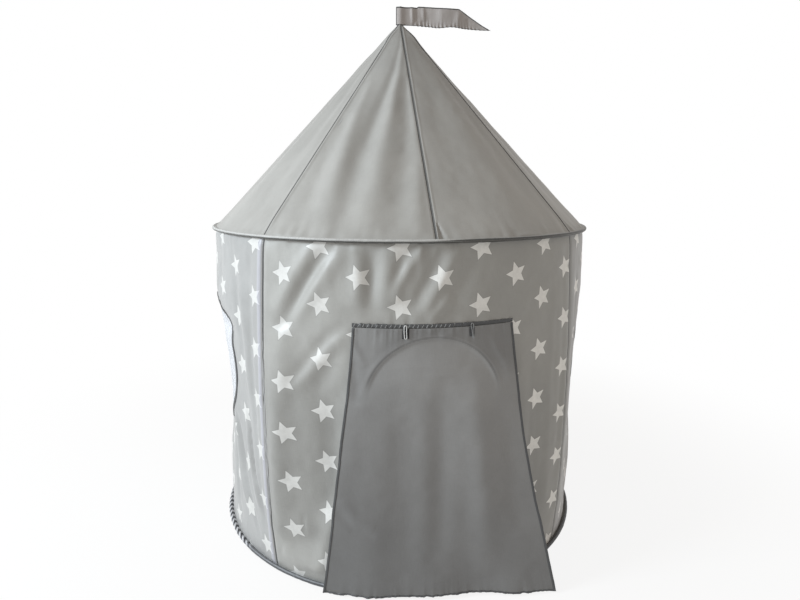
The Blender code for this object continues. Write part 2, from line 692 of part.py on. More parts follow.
def build_poles(rod, metal, plastic, cloth):
    """Four uprights in two sections, four rafters, and what joins, ends and holds them."""
    corner = Vector((0, -POLE_CIRCLE, ELBOW_HEIGHT))
    up_slope = Vector((0, math.cos(ROOF_SLOPE), math.sin(ROOF_SLOPE)))
    cap_bottom = CLOTH + CLEARANCE
    foot = cap_bottom + FOOT_CAP_FLOOR + CLEARANCE
    head = ELBOW_HEIGHT - SOCKET_FLOOR - CLEARANCE
    joint = (foot + head) / 2

    def on_pole(height):
        return Vector((0, -POLE_CIRCLE, height))

    rafter_low = corner + up_slope * (SOCKET_FLOOR + CLEARANCE)
    hub_centre = Vector((0, 0, HUB_HEIGHT))
    rafter_high = hub_centre - up_slope * (HUB_SOCKET_START + CLEARANCE)
    sleeve_low = corner + up_slope * (SOCKET_REACH + SLEEVE_END_GAP)
    sleeve_high = hub_centre - up_slope * (HUB_SOCKET_START + SOCKET_DEPTH + SLEEVE_END_GAP)
    shift = RAFTER_LINE_DEPTH * math.sin(ROOF_SLOPE)
    cap_top = cap_bottom + FOOT_CAP_HEIGHT
    elbow_bottom = ELBOW_HEIGHT - SOCKET_REACH
    pieces = {
        "upright_lower": (rod_mesh("upright_lower", on_pole(foot), on_pole(joint - CLEARANCE),
                                   POLE_RADIUS), rod),
        "upright_upper": (rod_mesh("upright_upper", on_pole(joint + CLEARANCE), on_pole(head),
                                   POLE_RADIUS), rod),
        "upright_ferrule": (tube_mesh("upright_ferrule", on_pole(joint - POLE_FERRULE_LENGTH / 2),
                                      on_pole(joint + POLE_FERRULE_LENGTH / 2),
                                      POLE_FERRULE_RADIUS, POLE_BORE), metal),
        "foot_cap": (foot_cap_mesh(cap_bottom), plastic),
        "elbow": (elbow_mesh(corner, up_slope), plastic),
        "rafter": (rod_mesh("rafter", rafter_low, rafter_high, POLE_RADIUS), rod),
        "upright_sleeve": (upright_sleeve_mesh(cap_top + SLEEVE_END_GAP,
                                               elbow_bottom - SLEEVE_END_GAP), cloth),
        "rafter_sleeve": (rafter_sleeve_mesh(-sleeve_low.y + shift, -sleeve_high.y + shift), cloth),
    }
    for where, azimuth in zip(POLE_NAMES, POLE_AZIMUTHS):
        for name, (mesh, material) in pieces.items():
            place(f"{name}_{where}", mesh, material, azimuth)


def build_hub(plastic, rod):
    """The fitting under the roof's tip that holds the rafters, and the mast that stands in it."""
    centre = Vector((0, 0, HUB_HEIGHT))
    ways = [point_at(azimuth, math.cos(ROOF_SLOPE), -math.sin(ROOF_SLOPE)) for azimuth in POLE_AZIMUTHS]
    body = rod_mesh("hub_body", centre - Vector((0, 0, HUB_BODY_DEPTH)),
                    centre + Vector((0, 0, HUB_BODY_RISE)), HUB_BODY_RADIUS)
    reach = HUB_SOCKET_START + SOCKET_DEPTH
    arms = [rod_mesh("hub_arm", centre, centre + way * reach, SOCKET_RADIUS) for way in ways]
    bores = [rod_mesh("hub_bore", centre + way * HUB_SOCKET_START, centre + way * (reach + OVERRUN),
                      POLE_BORE) for way in ways]
    seat = centre + Vector((0, 0, HUB_BODY_RISE - MAST_SEAT_DEPTH))
    bores.append(rod_mesh("mast_seat", seat, seat + Vector((0, 0, MAST_SEAT_DEPTH + OVERRUN)), POLE_BORE))
    place("hub", applied_mesh("hub", body, arms, bores), plastic)
    mast_top = Vector((0, 0, FLAG_TOP - CLOTH - CLEARANCE))
    place("mast", rod_mesh("mast", seat + Vector((0, 0, CLEARANCE)), mast_top, POLE_RADIUS), rod)


def pocket_outline(thickness, steps=8):
    """The flag pocket's plan: a lens round the mast, as (x, y) pairs, with a wall cut off it."""
    half = POLE_RADIUS + MAST_SLACK + CLOTH - thickness
    back, front = POCKET_BACK - thickness, POCKET_FRONT - thickness

    def half_width(x):
        reach = front if x > 0 else back
        return half * (1 - smooth_step((abs(x) - half) / (reach - half))) + CLEARANCE

    xs = [-back + (back + front) * step / steps for step in range(steps + 1)]
    return [(x, half_width(x)) for x in xs] + [(x, -half_width(x)) for x in reversed(xs)]


def build_flag(cloth):
    """The flag: a pocket closed at its top, and a fly that ends in a slanting point."""
    outer = [[Vector((x, y, height)) for x, y in pocket_outline(0.0)] for height in (FLAG_BOTTOM, FLAG_TOP)]
    cavity = [[Vector((x, y, height)) for x, y in pocket_outline(CLOTH)]
              for height in (FLAG_BOTTOM - OVERRUN, FLAG_TOP - CLOTH)]
    columns, rows = 14, 3
    near, far = [], []
    start = POCKET_FRONT - CLOTH - 2 * CLEARANCE
    for column in range(columns + 1):
        share = column / columns
        x = start + (FLAG_LENGTH - start) * share
        bottom = FLAG_BOTTOM - FLAG_TIP_DROOP * share ** 2
        slant = max(0.0, (x - FLAG_TOP_LENGTH) / (FLAG_LENGTH - FLAG_TOP_LENGTH))
        top = FLAG_TOP + (bottom + 2 * CLOTH - FLAG_TOP) * slant
        wave = FLAG_WAVE * math.sin(2 * math.pi * 1.5 * share) * smooth_step(3 * share)
        near.append([Vector((x, wave - CLOTH / 2, bottom + (top - bottom) * row / rows))
                     for row in range(rows + 1)])
        far.append([point + Vector((0, CLOTH, 0)) for point in near[-1]])
    flag = applied_mesh("flag", swept_mesh("flag_pocket", outer), [cloth_mesh("flag_fly", near, far)],
                        [swept_mesh("flag_cavity", cavity)])
    place("flag", flag, cloth)


def build_header(trim):
    """The hem that sews the flap to the wall above the doorway."""
    steps = 12
    sections = []
    for step in range(steps + 1):
        arc = HEADER_HALF_ARC * (2 * step / steps - 1)
        near, far = BINDING_STANDOFF, BINDING_STANDOFF + HEADER_THICKNESS
        top = HEADER_BOTTOM + HEADER_HEIGHT
        sections.append([on_wall(arc, HEADER_BOTTOM, near), on_wall(arc, HEADER_BOTTOM, far),
                         on_wall(arc, top, far), on_wall(arc, top, near)])
    place("door_header", swept_mesh("door_header", sections), trim)


def flap_point(across, down, offset):
    """A point of the flap. Across goes from -1 to 1, down from 0 at its head to 1 at its hem."""
    head = on_wall(across * HEADER_HALF_ARC, HEADER_BOTTOM - CLEARANCE, FLAP_STANDOFF)
    right = max(across, 0.0)
    left = max(-across, 0.0)
    hem_x = FLAP_FOOT_RIGHT * right - FLAP_FOOT_LEFT * left
    hoop_edge = HOOP_RADIUS + PIPING_RADIUS + FLAP_FOOT_CLEARANCE
    hem_azimuth = hem_x / hoop_edge
    reach = hoop_edge + FLAP_KICK_OUT_RIGHT * right ** 2 + FLAP_KICK_OUT_LEFT * left ** 2
    hem = point_at(hem_azimuth, reach, FLAP_HEM_HEIGHT + FLAP_HEM_LIFT * (1 - across ** 2))
    hem.x = hem_x
    flare = down ** 1.15
    point = head + (hem - head) * flare
    point.z = head.z + (hem.z - head.z) * down
    outwards = point_at(across * HEADER_HALF_ARC / WALL_OUTSIDE, 1.0, 0.0)
    folds = FLAP_FOLD_DEPTH * down ** 2 * (0.5 + 0.5 * math.sin(math.pi * (3.2 * across + 0.4)))
    return point + outwards * (folds + offset)


def build_flap(cloth):
    """The door flap, which hangs from the header and stands off the base hoop."""
    back, front = [], []
    for column in range(FLAP_COLUMNS + 1):
        across = 2 * column / FLAP_COLUMNS - 1
        rows = [row / FLAP_ROWS for row in range(FLAP_ROWS + 1)]
        back.append([flap_point(across, down, 0.0) for down in rows])
        front.append([flap_point(across, down, CLOTH) for down in rows])
    place("door_flap", cloth_mesh("door_flap", front, back), cloth)


def build_loop(name, arc, cord):
    """An elastic cord loop sewn in at the flap's head, which hangs against the flap's face."""
    top = HEADER_BOTTOM - CLEARANCE - LOOP_CORD_RADIUS
    bend = LOOP_WIDTH / 2
    ends = (top - bend, top + bend - LOOP_LENGTH)
    beside = Vector((math.cos(arc / WALL_OUTSIDE), math.sin(arc / WALL_OUTSIDE), 0))
    outwards = point_at(arc / WALL_OUTSIDE, 1.0, 0.0)
    sides, steps = 6, 5
    head = HEADER_BOTTOM - CLEARANCE
    sections = []
    for half, centre in enumerate(ends):
        for step in range(steps + 1):
            turn = math.pi * (half + step / steps)
            across, height = bend * math.cos(turn), centre + bend * math.sin(turn)
            down = (head - height) / (head - FLAP_HEM_HEIGHT - FLAP_HEM_LIFT)
            offset = CLOTH + CLEARANCE + LOOP_CORD_RADIUS
            middle = flap_point((arc + across) / HEADER_HALF_ARC, down, offset)
            middle.z = height
            lateral = beside * math.cos(turn) + Vector((0, 0, math.sin(turn)))
            turns = [2 * math.pi * (side + 0.5) / sides for side in range(sides)]
            sections.append([middle + (lateral * math.cos(around) + outwards * math.sin(around))
                             * LOOP_CORD_RADIUS for around in turns])
    place(name, swept_mesh(name, sections, around=True), cord)


def build_toggle(name, arc, cord):
    """A toggle on a short cord that hangs inside the wall above the doorway."""
    azimuth = arc / WALL_OUTSIDE
    radius = WALL_INSIDE - TOGGLE_STANDOFF - TOGGLE_RADIUS
    top = HEADER_BOTTOM + HEADER_HEIGHT
    hang = point_at(azimuth, radius, top - TOGGLE_DROP)
    beside = Vector((math.cos(azimuth), math.sin(azimuth), 0)) * TOGGLE_LENGTH / 2
    barrel = rod_mesh("toggle_barrel", hang - beside, hang + beside, TOGGLE_RADIUS)
    anchor = point_at(azimuth, WALL_INSIDE - TOGGLE_STANDOFF - TOGGLE_CORD_RADIUS, top)
    line = swept_mesh("toggle_line", rod_sections(hang, anchor, TOGGLE_CORD_RADIUS, sides=6,
                                                  across=beside.normalized()))
    place(name, applied_mesh(name, barrel, [line], []), cord)


def build_tent():
    """The whole tent."""
    plain = make_material("plain_cloth", (0.44, 0.44, 0.43), 0.75)
    printed = make_material("star_cloth", (0.50, 0.50, 0.49), 0.75)
    dark = make_material("flap_cloth", (0.26, 0.26, 0.26), 0.7)
    trim = make_material("edge_tape", (0.13, 0.13, 0.13), 0.7)
    net = make_material("window_net", (0.85, 0.85, 0.87), 0.8)
    sheet = make_material("groundsheet_cloth", (0.30, 0.30, 0.30), 0.8)
    rod = make_material("pole_rod", (0.75, 0.75, 0.74), 0.4)
    metal = make_material("ferrule_steel", (0.6, 0.6, 0.6), 0.3, 1.0)
    plastic = make_material("fitting_plastic", (0.8, 0.8, 0.8), 0.45)
    cord = make_material("tie_cord", (0.55, 0.55, 0.54), 0.8)

    build_roof(plain)
    build_front_wall(printed, trim)
    build_side_wall("left", -1, printed, trim, net)
    build_side_wall("right", 1, printed, trim, net)
    place("back_wall", wall_mesh("back_wall", math.pi), printed)
    build_hoop("eave", EAVE_HEIGHT, 0.0, rod, metal, trim)
    build_hoop("base", BASE_HOOP_HEIGHT, BASE_FLANGE_DROP, rod, metal, trim)
    build_groundsheet(sheet)
    build_poles(rod, metal, plastic, plain)
    build_hub(plastic, rod)
    build_flag(plain)
    build_header(trim)
    build_flap(dark)
    build_loop("tie_loop_left", TIE_LEFT_ARC, cord)
    build_loop("tie_loop_right", TIE_RIGHT_ARC, cord)
    build_toggle("tie_toggle_left", TIE_LEFT_ARC, cord)
    build_toggle("tie_toggle_right", TIE_RIGHT_ARC, cord)


for leftover in list(bpy.data.objects):
    bpy.data.objects.remove(leftover)
build_tent()
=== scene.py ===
"""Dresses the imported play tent: cloth, print, nets, tapes, cords, fittings, floor and light."""

import math

import bpy
import numpy as np
from mathutils import Matrix, Vector


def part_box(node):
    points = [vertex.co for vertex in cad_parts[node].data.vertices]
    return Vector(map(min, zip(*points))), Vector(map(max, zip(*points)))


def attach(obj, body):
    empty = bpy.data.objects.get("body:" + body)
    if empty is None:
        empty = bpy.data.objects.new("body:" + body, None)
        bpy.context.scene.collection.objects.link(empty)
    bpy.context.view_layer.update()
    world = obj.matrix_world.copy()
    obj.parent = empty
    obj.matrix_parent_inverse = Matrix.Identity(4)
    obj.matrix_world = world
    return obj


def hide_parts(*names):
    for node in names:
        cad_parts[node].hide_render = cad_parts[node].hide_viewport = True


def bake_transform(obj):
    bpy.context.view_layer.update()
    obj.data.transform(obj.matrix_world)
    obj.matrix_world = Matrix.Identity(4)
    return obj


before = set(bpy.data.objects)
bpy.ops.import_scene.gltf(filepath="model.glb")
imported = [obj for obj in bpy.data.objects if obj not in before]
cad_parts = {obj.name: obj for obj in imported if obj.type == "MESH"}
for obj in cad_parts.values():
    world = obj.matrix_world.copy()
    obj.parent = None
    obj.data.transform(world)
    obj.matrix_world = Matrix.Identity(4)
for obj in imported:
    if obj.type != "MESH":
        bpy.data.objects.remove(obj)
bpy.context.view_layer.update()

# Sizes that repeat the frame's, in metres
WALL_R = 0.5127
EAVE_Z = 0.835
WALL_TOP, WALL_BOTTOM = 0.8337, 0.0030
HOOP_R = 0.5205
TIP_R, TIP_Z = 0.0095, 1.375
ROOF_FOOT_R, ROOF_FOOT_Z = 0.5138, 0.8363
QUARTER = math.pi / 2
PANEL = QUARTER * WALL_R
WINDOW_ARC, WINDOW_Z, WINDOW_R = 0.742, 0.478, 0.170
NET_R = WINDOW_R + 0.009
ARCH_R, ARCH_Z = 0.152, 0.475
DOOR_FOOT, DOOR_SILL = 0.200, 0.035
HEADER_Z = 0.649
HEAD_LEFT, HEAD_RIGHT = 0.178, 0.186
FLAP_HEAD = HEADER_Z - 0.0003
HEM_Z = 0.004
LOOP_LEFT, LOOP_RIGHT = -0.0635, 0.0815
TOGGLE_LEFT, TOGGLE_RIGHT = -0.067, 0.084
FLOOR_R = 0.5125
SIDES = ((-1, "left"), (1, "right"))
CLOTH = 0.0005
CORNER_BOW = 0.014

# The body named for a piece that stays sewn at its head and lies on the flap lower down; make_piece leaves
# such a piece unparented
ON_FLAP = "tent to flap"


# Numbers and shapes


def smooth(t):
    t = np.clip(t, 0.0, 1.0)
    return t * t * (3 - 2 * t)


def bell(x, width):
    return np.exp(-((x / width) ** 2))


def fading(x, size):
    return np.exp(-x / size)


NOISE_CELLS = 64
NOISE = np.random.default_rng(4662).uniform(-1, 1, (8, NOISE_CELLS, NOISE_CELLS))


def noise(x, y, size, layer=0):
    """Smooth random bumps between -1 and 1, of a given size."""
    u, v = np.asarray(x) / size + 11.3 * layer, np.asarray(y) / size + 7.7 * layer
    i, j = np.floor(u).astype(int), np.floor(v).astype(int)
    s, t = smooth(u - i), smooth(v - j)
    a, b, c, d = (NOISE[layer, (i + m) % NOISE_CELLS, (j + n) % NOISE_CELLS]
                  for n in (0, 1) for m in (0, 1))
    return (a * (1 - s) + b * s) * (1 - t) + (c * (1 - s) + d * s) * t


def fold_list(*rows):
    """Folds from rows of millimetres: width, height, then the path's points as arc and height."""
    rows = [np.array(row) / 1000 for row in rows]
    return [(row[2:].reshape(-1, 2), row[0], row[1]) for row in rows]


def folded(x, y, folds):
    """How far a sheet stands out in its folds: soft ridges that fade out at both ends."""
    total = 0.0
    for path, width, height in folds:
        steps = np.linalg.norm(np.diff(path, axis=0), axis=1)
        best, along, done = np.full(np.shape(x), 1e9), 0.0, 0.0
        for (x0, y0), (x1, y1), step in zip(path[:-1], path[1:], steps):
            dx, dy = x1 - x0, y1 - y0
            t = np.clip(((x - x0) * dx + (y - y0) * dy) / step**2, 0, 1)
            d2 = (x - x0 - t * dx) ** 2 + (y - y0 - t * dy) ** 2
            along = np.where(d2 < best, (done + t * step) / steps.sum(), along)
            best = np.minimum(d2, best)
            done += step
        total = total + height * np.exp(-best / width**2) * np.sin(math.pi * along) ** 0.6
    return total


def points(x, y, z):
    return np.stack(np.broadcast_arrays(x, y, z), axis=-1)


def round_points(az, r, z):
    """Points at an azimuth from the door's middle, a radius and a height."""
    return points(r * np.sin(az), -r * np.cos(az), z)


def turned(x, y, z, turn):
    """Points turned about the tent's centre line."""
    return points(x * np.cos(turn) - y * np.sin(turn), x * np.sin(turn) + y * np.cos(turn), z)


def running_length(p):
    return np.concatenate([[0], np.cumsum(np.linalg.norm(np.diff(p, axis=0), axis=1))])


def make_piece(name, verts, faces, maps, materials, fits, sharp=50):
    """A mesh object with UV maps; fits holds a slot, which is not used, the node it replaces and the body
    it rides.
    """
    mesh = bpy.data.meshes.new(name)
    mesh.from_pydata(np.float32(verts).tolist(), [], faces)
    mesh.validate()
    index = np.zeros(len(mesh.loops), np.int32)
    mesh.loops.foreach_get("vertex_index", index)
    for key, uv in maps.items():
        mesh.uv_layers.new(name=key).data.foreach_set("uv", np.float32(uv)[index].ravel())
    mesh.shade_smooth()
    mesh.set_sharp_from_angle(angle=math.radians(sharp))
    obj = bpy.data.objects.new(name, mesh)
    bpy.context.scene.collection.objects.link(obj)
    for material in materials:
        mesh.materials.append(material)
    slot, node, body = fits
    if node:
        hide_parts(node)
    if body == ON_FLAP:
        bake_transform(obj)
    else:
        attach(obj, body)
    return obj


def grid_quads(nu, nv, round_u=False, round_v=False):
    """The faces of a grid of points, which may close on itself."""
    i, j = np.meshgrid(np.arange(nu - 1 + round_u), np.arange(nv - 1 + round_v), indexing="ij")
    i2, j2 = (i + 1) % nu, (j + 1) % nv
    return np.stack([i * nv + j, i2 * nv + j, i2 * nv + j2, i * nv + j2], -1)


def shell(name, p, maps, materials, fits, thick=CLOTH, keep=None, closed=False, flip=False):
    """A closed sheet of cloth on a grid of points; keep says which cells are cloth.

    The first material is on the outer face, and the last one on the inner face and the edges.
    """
    wide = np.concatenate([p[-1:], p, p[:1]]) if closed else p
    n = np.cross(np.gradient(wide, axis=0), np.gradient(wide, axis=1))
    n /= np.maximum(np.linalg.norm(n, axis=-1, keepdims=True), 1e-12)
    n = (n[1:-1] if closed else n) * (-1 if flip else 1)
    nu, nv = p.shape[:2]
    quad = grid_quads(nu, nv, closed)
    quad = quad.reshape(-1, 4) if keep is None else quad[keep]
    if flip:
        quad = quad[:, ::-1]
    count = nu * nv
    edges = np.concatenate([quad[:, [k, (k + 1) % 4]] for k in range(4)])
    rim = edges[~np.isin(edges @ (count, 1), edges @ (1, count))]
    rims = np.stack([rim[:, 1], rim[:, 0], rim[:, 0] + count, rim[:, 1] + count], axis=1)
    verts = np.concatenate([p.reshape(-1, 3), (p - n * thick).reshape(-1, 3)])
    used, faces = np.unique(np.concatenate([quad, quad[:, ::-1] + count, rims]), return_inverse=True)
    uvs = {key: np.stack([np.broadcast_to(part, (nu, nv)).ravel() for part in pair], -1)
           for key, pair in maps.items()}
    uvs = {key: np.concatenate([uv, uv])[used] for key, uv in uvs.items()}
    obj = make_piece(name, verts[used], faces.reshape(-1, 4).tolist(), uvs, materials, fits)
    if len(materials) > 1:
        sides = np.ones(len(obj.data.polygons), np.int32)
        sides[:len(quad)] = 0
        obj.data.polygons.foreach_set("material_index", sides)
    return obj


def tube(name, path, radius, sides, material, body, node=None):
    """A capped cord along points; radius is one number, or one for each point."""
    path = np.asarray(path, float)
    count = len(path)
    tangent = np.gradient(path, axis=0)
    tangent /= np.linalg.norm(tangent, axis=1, keepdims=True)
    side = np.cross((0.0, 0.0, 1.0) if abs(tangent[0][2]) < 0.9 else (1.0, 0.0, 0.0), tangent[0])
    up = np.zeros((count, 3))
    for k in range(count):
        side = side - tangent[k] * side.dot(tangent[k])
        side /= np.linalg.norm(side)
        up[k] = side
    turn = np.linspace(0, 2 * math.pi, sides, endpoint=False)
    ring = up[:, None] * np.cos(turn)[:, None] + np.cross(tangent, up)[:, None] * np.sin(turn)[:, None]
    verts = path[:, None] + ring * np.reshape(radius, (-1, 1, 1))
    quads = np.roll(grid_quads(count, sides, False, True).reshape(-1, 4)[:, ::-1], 1, axis=1)
    caps = [list(range(sides - 1, -1, -1)), list(range((count - 1) * sides, count * sides))]
    uv = points(running_length(path)[:, None], turn / 300, 0)[..., :2]
    return make_piece(name, verts.reshape(-1, 3), quads.tolist() + caps, {"cloth": uv.reshape(-1, 2)},
                      [material], ("tie_cord", node, body))


# Materials


class Graph:
    """Writes the nodes of a material or a world as plain sums."""

    def __init__(self, owner):
        owner.use_nodes = True
        self.owner = owner
        self.tree = owner.node_tree
        self.shader = self.tree.nodes.get("Principled BSDF")

    def link(self, value, socket):
        if isinstance(value, bpy.types.NodeSocket):
            self.tree.links.new(value, socket)
        elif isinstance(value, tuple) and socket.type == "RGBA":
            socket.default_value = (*value, 1.0)
        else:
            socket.default_value = value

    def node(self, kind, out=0, inputs=(), **settings):
        made = self.tree.nodes.new("ShaderNode" + kind)
        for key, value in settings.items():
            setattr(made, key, value)
        for key, value in dict(inputs).items():
            self.link(value, made.inputs[key])
        return made.outputs[out]

    def math(self, operation, *values):
        return self.node("Math", 0, dict(enumerate(values)), operation=operation)

    def add(self, a, b):
        return self.math("ADD", a, b)

    def sub(self, a, b):
        return self.math("SUBTRACT", a, b)

    def mul(self, first, *others):
        for value in others:
            first = self.math("MULTIPLY", first, value)
        return first

    def abs(self, value):
        return self.math("ABSOLUTE", value)

    def wrap(self, value, half):
        return self.math("WRAP", value, half, -half)

    def span(self, value, low, high, to_low=0.0, to_high=1.0):
        return self.node("MapRange", 0, {0: value, 1: low, 2: high, 3: to_low, 4: to_high},
                         interpolation_type="SMOOTHSTEP")

    def mix(self, share, a, b):
        return self.node("Mix", 2, {0: share, 6: a, 7: b}, data_type="RGBA")

    def scale(self, colour, factor):
        return self.node("VectorMath", 0, {0: colour, "Scale": factor}, operation="SCALE")

    def uv(self, name):
        out = self.node("UVMap", 0, uv_map=name)
        split = self.tree.nodes.new("ShaderNodeSeparateXYZ")
        self.tree.links.new(out, split.inputs[0])
        return out, split.outputs[0], split.outputs[1]

    def noise(self, vector, scale, detail=2.0, rough=0.5):
        return self.node("TexNoise", 0,
                         {"Vector": vector, "Scale": scale, "Detail": detail, "Roughness": rough})

    def scaled(self, vector, x, y, z=1.0):
        return self.node("Mapping", 0, {"Vector": vector, "Scale": (x, y, z)})

    def bump(self, height, strength, distance, under=None):
        inputs = {"Height": height, "Strength": strength, "Distance": distance}
        if under is not None:
            inputs["Normal"] = under
        return self.node("Bump", 0, inputs)

    def set(self, **values):
        for key, value in values.items():
            self.link(value, self.shader.inputs[key.replace("_", " ")])
        return self.owner


def star_distance(g, u, v):
    """How far a point lies outside a staggered pattern of five-pointed stars that point left."""
    column, row = 0.0895, 0.1253
    first_u, first_v = 0.0145, 0.757
    size, inner, sector = 0.0292, 0.47, math.pi / 5
    dent_x, dent_y = size * inner * math.cos(sector), size * inner * math.sin(sector)
    length = math.hypot(dent_x - size, dent_y)

    def cell(shift_u, shift_v):
        x = g.wrap(g.sub(u, first_u + shift_u), column)
        y = g.wrap(g.sub(v, first_v + shift_v), row / 2)
        turn = g.abs(g.wrap(g.math("ARCTAN2", y, g.mul(x, -1.0)), sector))
        reach = g.math("SQRT", g.add(g.mul(x, x), g.mul(y, y)))
        px, py = g.mul(reach, g.math("COSINE", turn)), g.mul(reach, g.math("SINE", turn))
        return g.add(g.mul(g.sub(px, size), dent_y / length), g.mul(py, (size - dent_x) / length))

    return g.math("MINIMUM", cell(0.0, 0.0), cell(column, row / 2))


STITCH_ROW = 0.0034
STITCH_PITCH = 0.0034


def cloth_material(name, colour, rough=0.45, stars=False, seam_dark=0.8, pole_glow=0.0,
                   crinkle=0.35, print_shade=1.0, painted_flap_shading=False, gloss=0.5, crown=1.0):
    """Thin woven polyester: weave, slubs, fine crinkles and a stitched line beside each seam, with painted
    light and shade on some cloths.
    """
    g = Graph(bpy.data.materials.new(name))
    vector, u, v = g.uv("cloth")
    _, seam, along = g.uv("seam")
    weave = g.add(g.noise(g.scaled(vector, 900, 60), 1.0), g.noise(g.scaled(vector, 60, 900), 1.0))
    tone = g.noise(vector, 9.0, 3.0, 0.6)
    base = g.scale(colour, g.add(g.span(tone, 0.3, 0.7, 0.95, 1.05), g.mul(g.sub(weave, 1.0), 0.14)))
    if stars:
        low = g.span(v, 0.45, 0.17)
        if pole_glow:
            pull_u, pull_v = 0.0, g.mul(low, g.span(u, 0.1, -0.1, 0.0, 0.017))
        else:
            pull_u = g.mul(low, g.span(u, -0.12, -0.22, 0.0, -0.010))
            pull_v = g.mul(low, g.span(u, 0.10, 0.36, 0.0, -0.012))
            # painted shade: the cloth darker in a band low on the wall, most of all on the front's lower
            # left
            painted_low_shade = g.mul(g.span(v, 0.62, 0.42), g.span(v, 0.05, 0.15), g.span(u, -0.12, -0.24, 0.08, 0.19))
            base = g.scale(base, g.sub(1.0, painted_low_shade))
        distance = star_distance(g, g.add(u, pull_u), g.add(v, pull_v))
        ink = g.scale(tuple(print_shade * c for c in (0.72, 0.715, 0.695)),
                      g.span(g.noise(vector, 55.0, 3.0, 0.7), 0.25, 0.75, 0.90, 1.03))
        # painted light and shade: the ink darker towards the lit left and paler towards the shaded right
        ink = g.scale(ink, g.span(u, -0.45, 0.40, 0.80, 1.20))
        line = g.mul(g.span(distance, -0.0003, 0.0002), g.span(distance, 0.0020, 0.0004))
        base = g.mix(g.mul(line, 0.30 * print_shade), base, (0.10, 0.10, 0.10))
        base = g.mix(g.mul(g.span(distance, 0.0003, -0.0003), print_shade), base, ink)
    if crown < 1.0:
        base = g.scale(base, g.span(v, 0.08, 0.70, 1.07, crown))
    if pole_glow:
        # painted light: a pale lavender strip beside the seams where the pole glows through the thin cloth,
        # on the lit left wall only
        strip = g.mul(g.span(seam, 0.0035, 0.0060), g.span(seam, 0.0185, 0.0135), g.span(u, 0.1, -0.1))
        base = g.mix(g.mul(strip, pole_glow), base, (0.52, 0.52, 0.60))
    if painted_flap_shading:
        # painted light and shade on the flap: a dark line along the arch, partly the doorway's binding seen
        # through and partly painted shade; painted shade where the wall backs the flap, and painted light
        # over the open doorway
        _, arch_line_shade, backing = g.uv("painted_flap_shading")
        base = g.scale(base, g.sub(1.0, g.mul(backing, 0.24)))
        base = g.mix(arch_line_shade, base, (0.035, 0.035, 0.037))
        # painted light and shade: the flap darker towards its left and its hem, lighter towards its right
        # and its head
        base = g.scale(base, g.mul(g.span(u, -0.26, 0.12, 0.88, 1.12), g.span(v, 0.0, 0.60, 0.74, 1.18)))
    dash = g.math("WRAP", along, STITCH_PITCH, 0.0)
    off_row = g.abs(g.sub(seam, STITCH_ROW))
    stitch = g.mul(g.span(dash, 0.0002, 0.0006),
                   g.span(dash, STITCH_PITCH - 0.0004, STITCH_PITCH - 0.0009),
                   g.span(off_row, 0.0006, 0.0002))
    base = g.mix(g.mul(g.span(seam, STITCH_ROW, 0.0018), seam_dark), base, (0.030, 0.030, 0.030))
    base = g.mix(g.mul(stitch, 0.35), base, (0.55, 0.55, 0.54))
    normal = g.bump(g.noise(g.scaled(vector, 34, 22), 1.0, 3.0, 0.55), crinkle, 0.0018)
    normal = g.bump(g.noise(vector, 130.0, 4.0, 0.6), crinkle * 0.6, 0.0003, normal)
    normal = g.bump(g.mul(weave, 0.5), 0.25, 0.0001, normal)
    pull = g.mul(g.span(off_row, 0.0018, 0.0), 0.8)
    normal = g.bump(g.sub(g.mul(stitch, 0.6), pull), 0.7, 0.0006, normal)
    return g.set(Base_Color=base, Roughness=g.span(tone, 0.3, 0.7, rough - 0.04, rough + 0.05),
                 Sheen_Weight=0.2, Sheen_Roughness=0.4, Specular_IOR_Level=gloss, Normal=normal)


CASING_HALF_GIRTH = 0.01476
TWIST_PITCH = 0.0235


def casing_material(name, pale, dim, underside_shade, split, twist_light_shade=0.0):
    """The cloth casing round a hoop: a painted highlight on its upper half, dimmer on the right, painted
    shade on its lower half, a dark line along its top, and twists where it strains, which may carry painted
    highlights and shade.
    """
    g = Graph(bpy.data.materials.new(name))
    vector, u, v = g.uv("cloth")
    around = g.wrap(v, CASING_HALF_GIRTH)
    slub = g.noise(g.scaled(vector, 500, 120), 1.0, 3.0)
    patch = g.noise(g.scaled(vector, 14, 0), 1.0, 3.0, 0.7)
    uneven = g.sub(patch, 0.5)
    limit = g.add(g.span(u, -0.02, 0.10, split, split + 0.0044), g.mul(uneven, 0.0012))
    # painted light: the upper half pale on the lit left and dimmer to the right
    crown = g.mix(g.span(u, -0.02, 0.10), pale, dim)
    # painted shade: the lower half dark, reaching higher on the right
    base = g.mix(g.span(g.sub(around, limit), 0.0007, -0.0007), crown, underside_shade)
    line = g.span(g.abs(g.sub(around, 0.0078)), 0.0012, 0.0005)
    base = g.mix(g.mul(line, 0.8), base, (0.030, 0.030, 0.030))
    twist = g.math("SINE", g.add(g.mul(u, 2 * math.pi / TWIST_PITCH), g.mul(around, 420.0)))
    twist = g.add(twist, g.mul(uneven, 1.6))
    strain = g.mul(g.span(u, -0.86, -0.80), g.span(u, -0.50, -0.56))
    # painted highlights and shade on the twists, where it strains and on the lit left
    if twist_light_shade:
        faint = g.mul(g.span(patch, 0.52, 0.66), g.span(u, -0.20, -0.30, 0.0, 0.35))
        strain = g.math("MAXIMUM", strain, faint)
        base = g.mix(g.mul(g.span(twist, 0.0, 0.5), strain, twist_light_shade), base, (0.60, 0.60, 0.62))
        base = g.mix(g.mul(g.span(twist, 0.0, -0.6), strain, twist_light_shade), base, (0.02, 0.02, 0.025))
    base = g.scale(base, g.span(slub, 0.3, 0.7, 0.88, 1.10))
    height = g.add(g.mul(slub, 0.3), g.mul(twist, g.add(g.mul(strain, 0.5), 0.05)))
    return g.set(Base_Color=base, Roughness=0.5, Sheen_Weight=0.15, Specular_IOR_Level=0.4,
                 Normal=g.bump(height, 0.6, 0.0009))


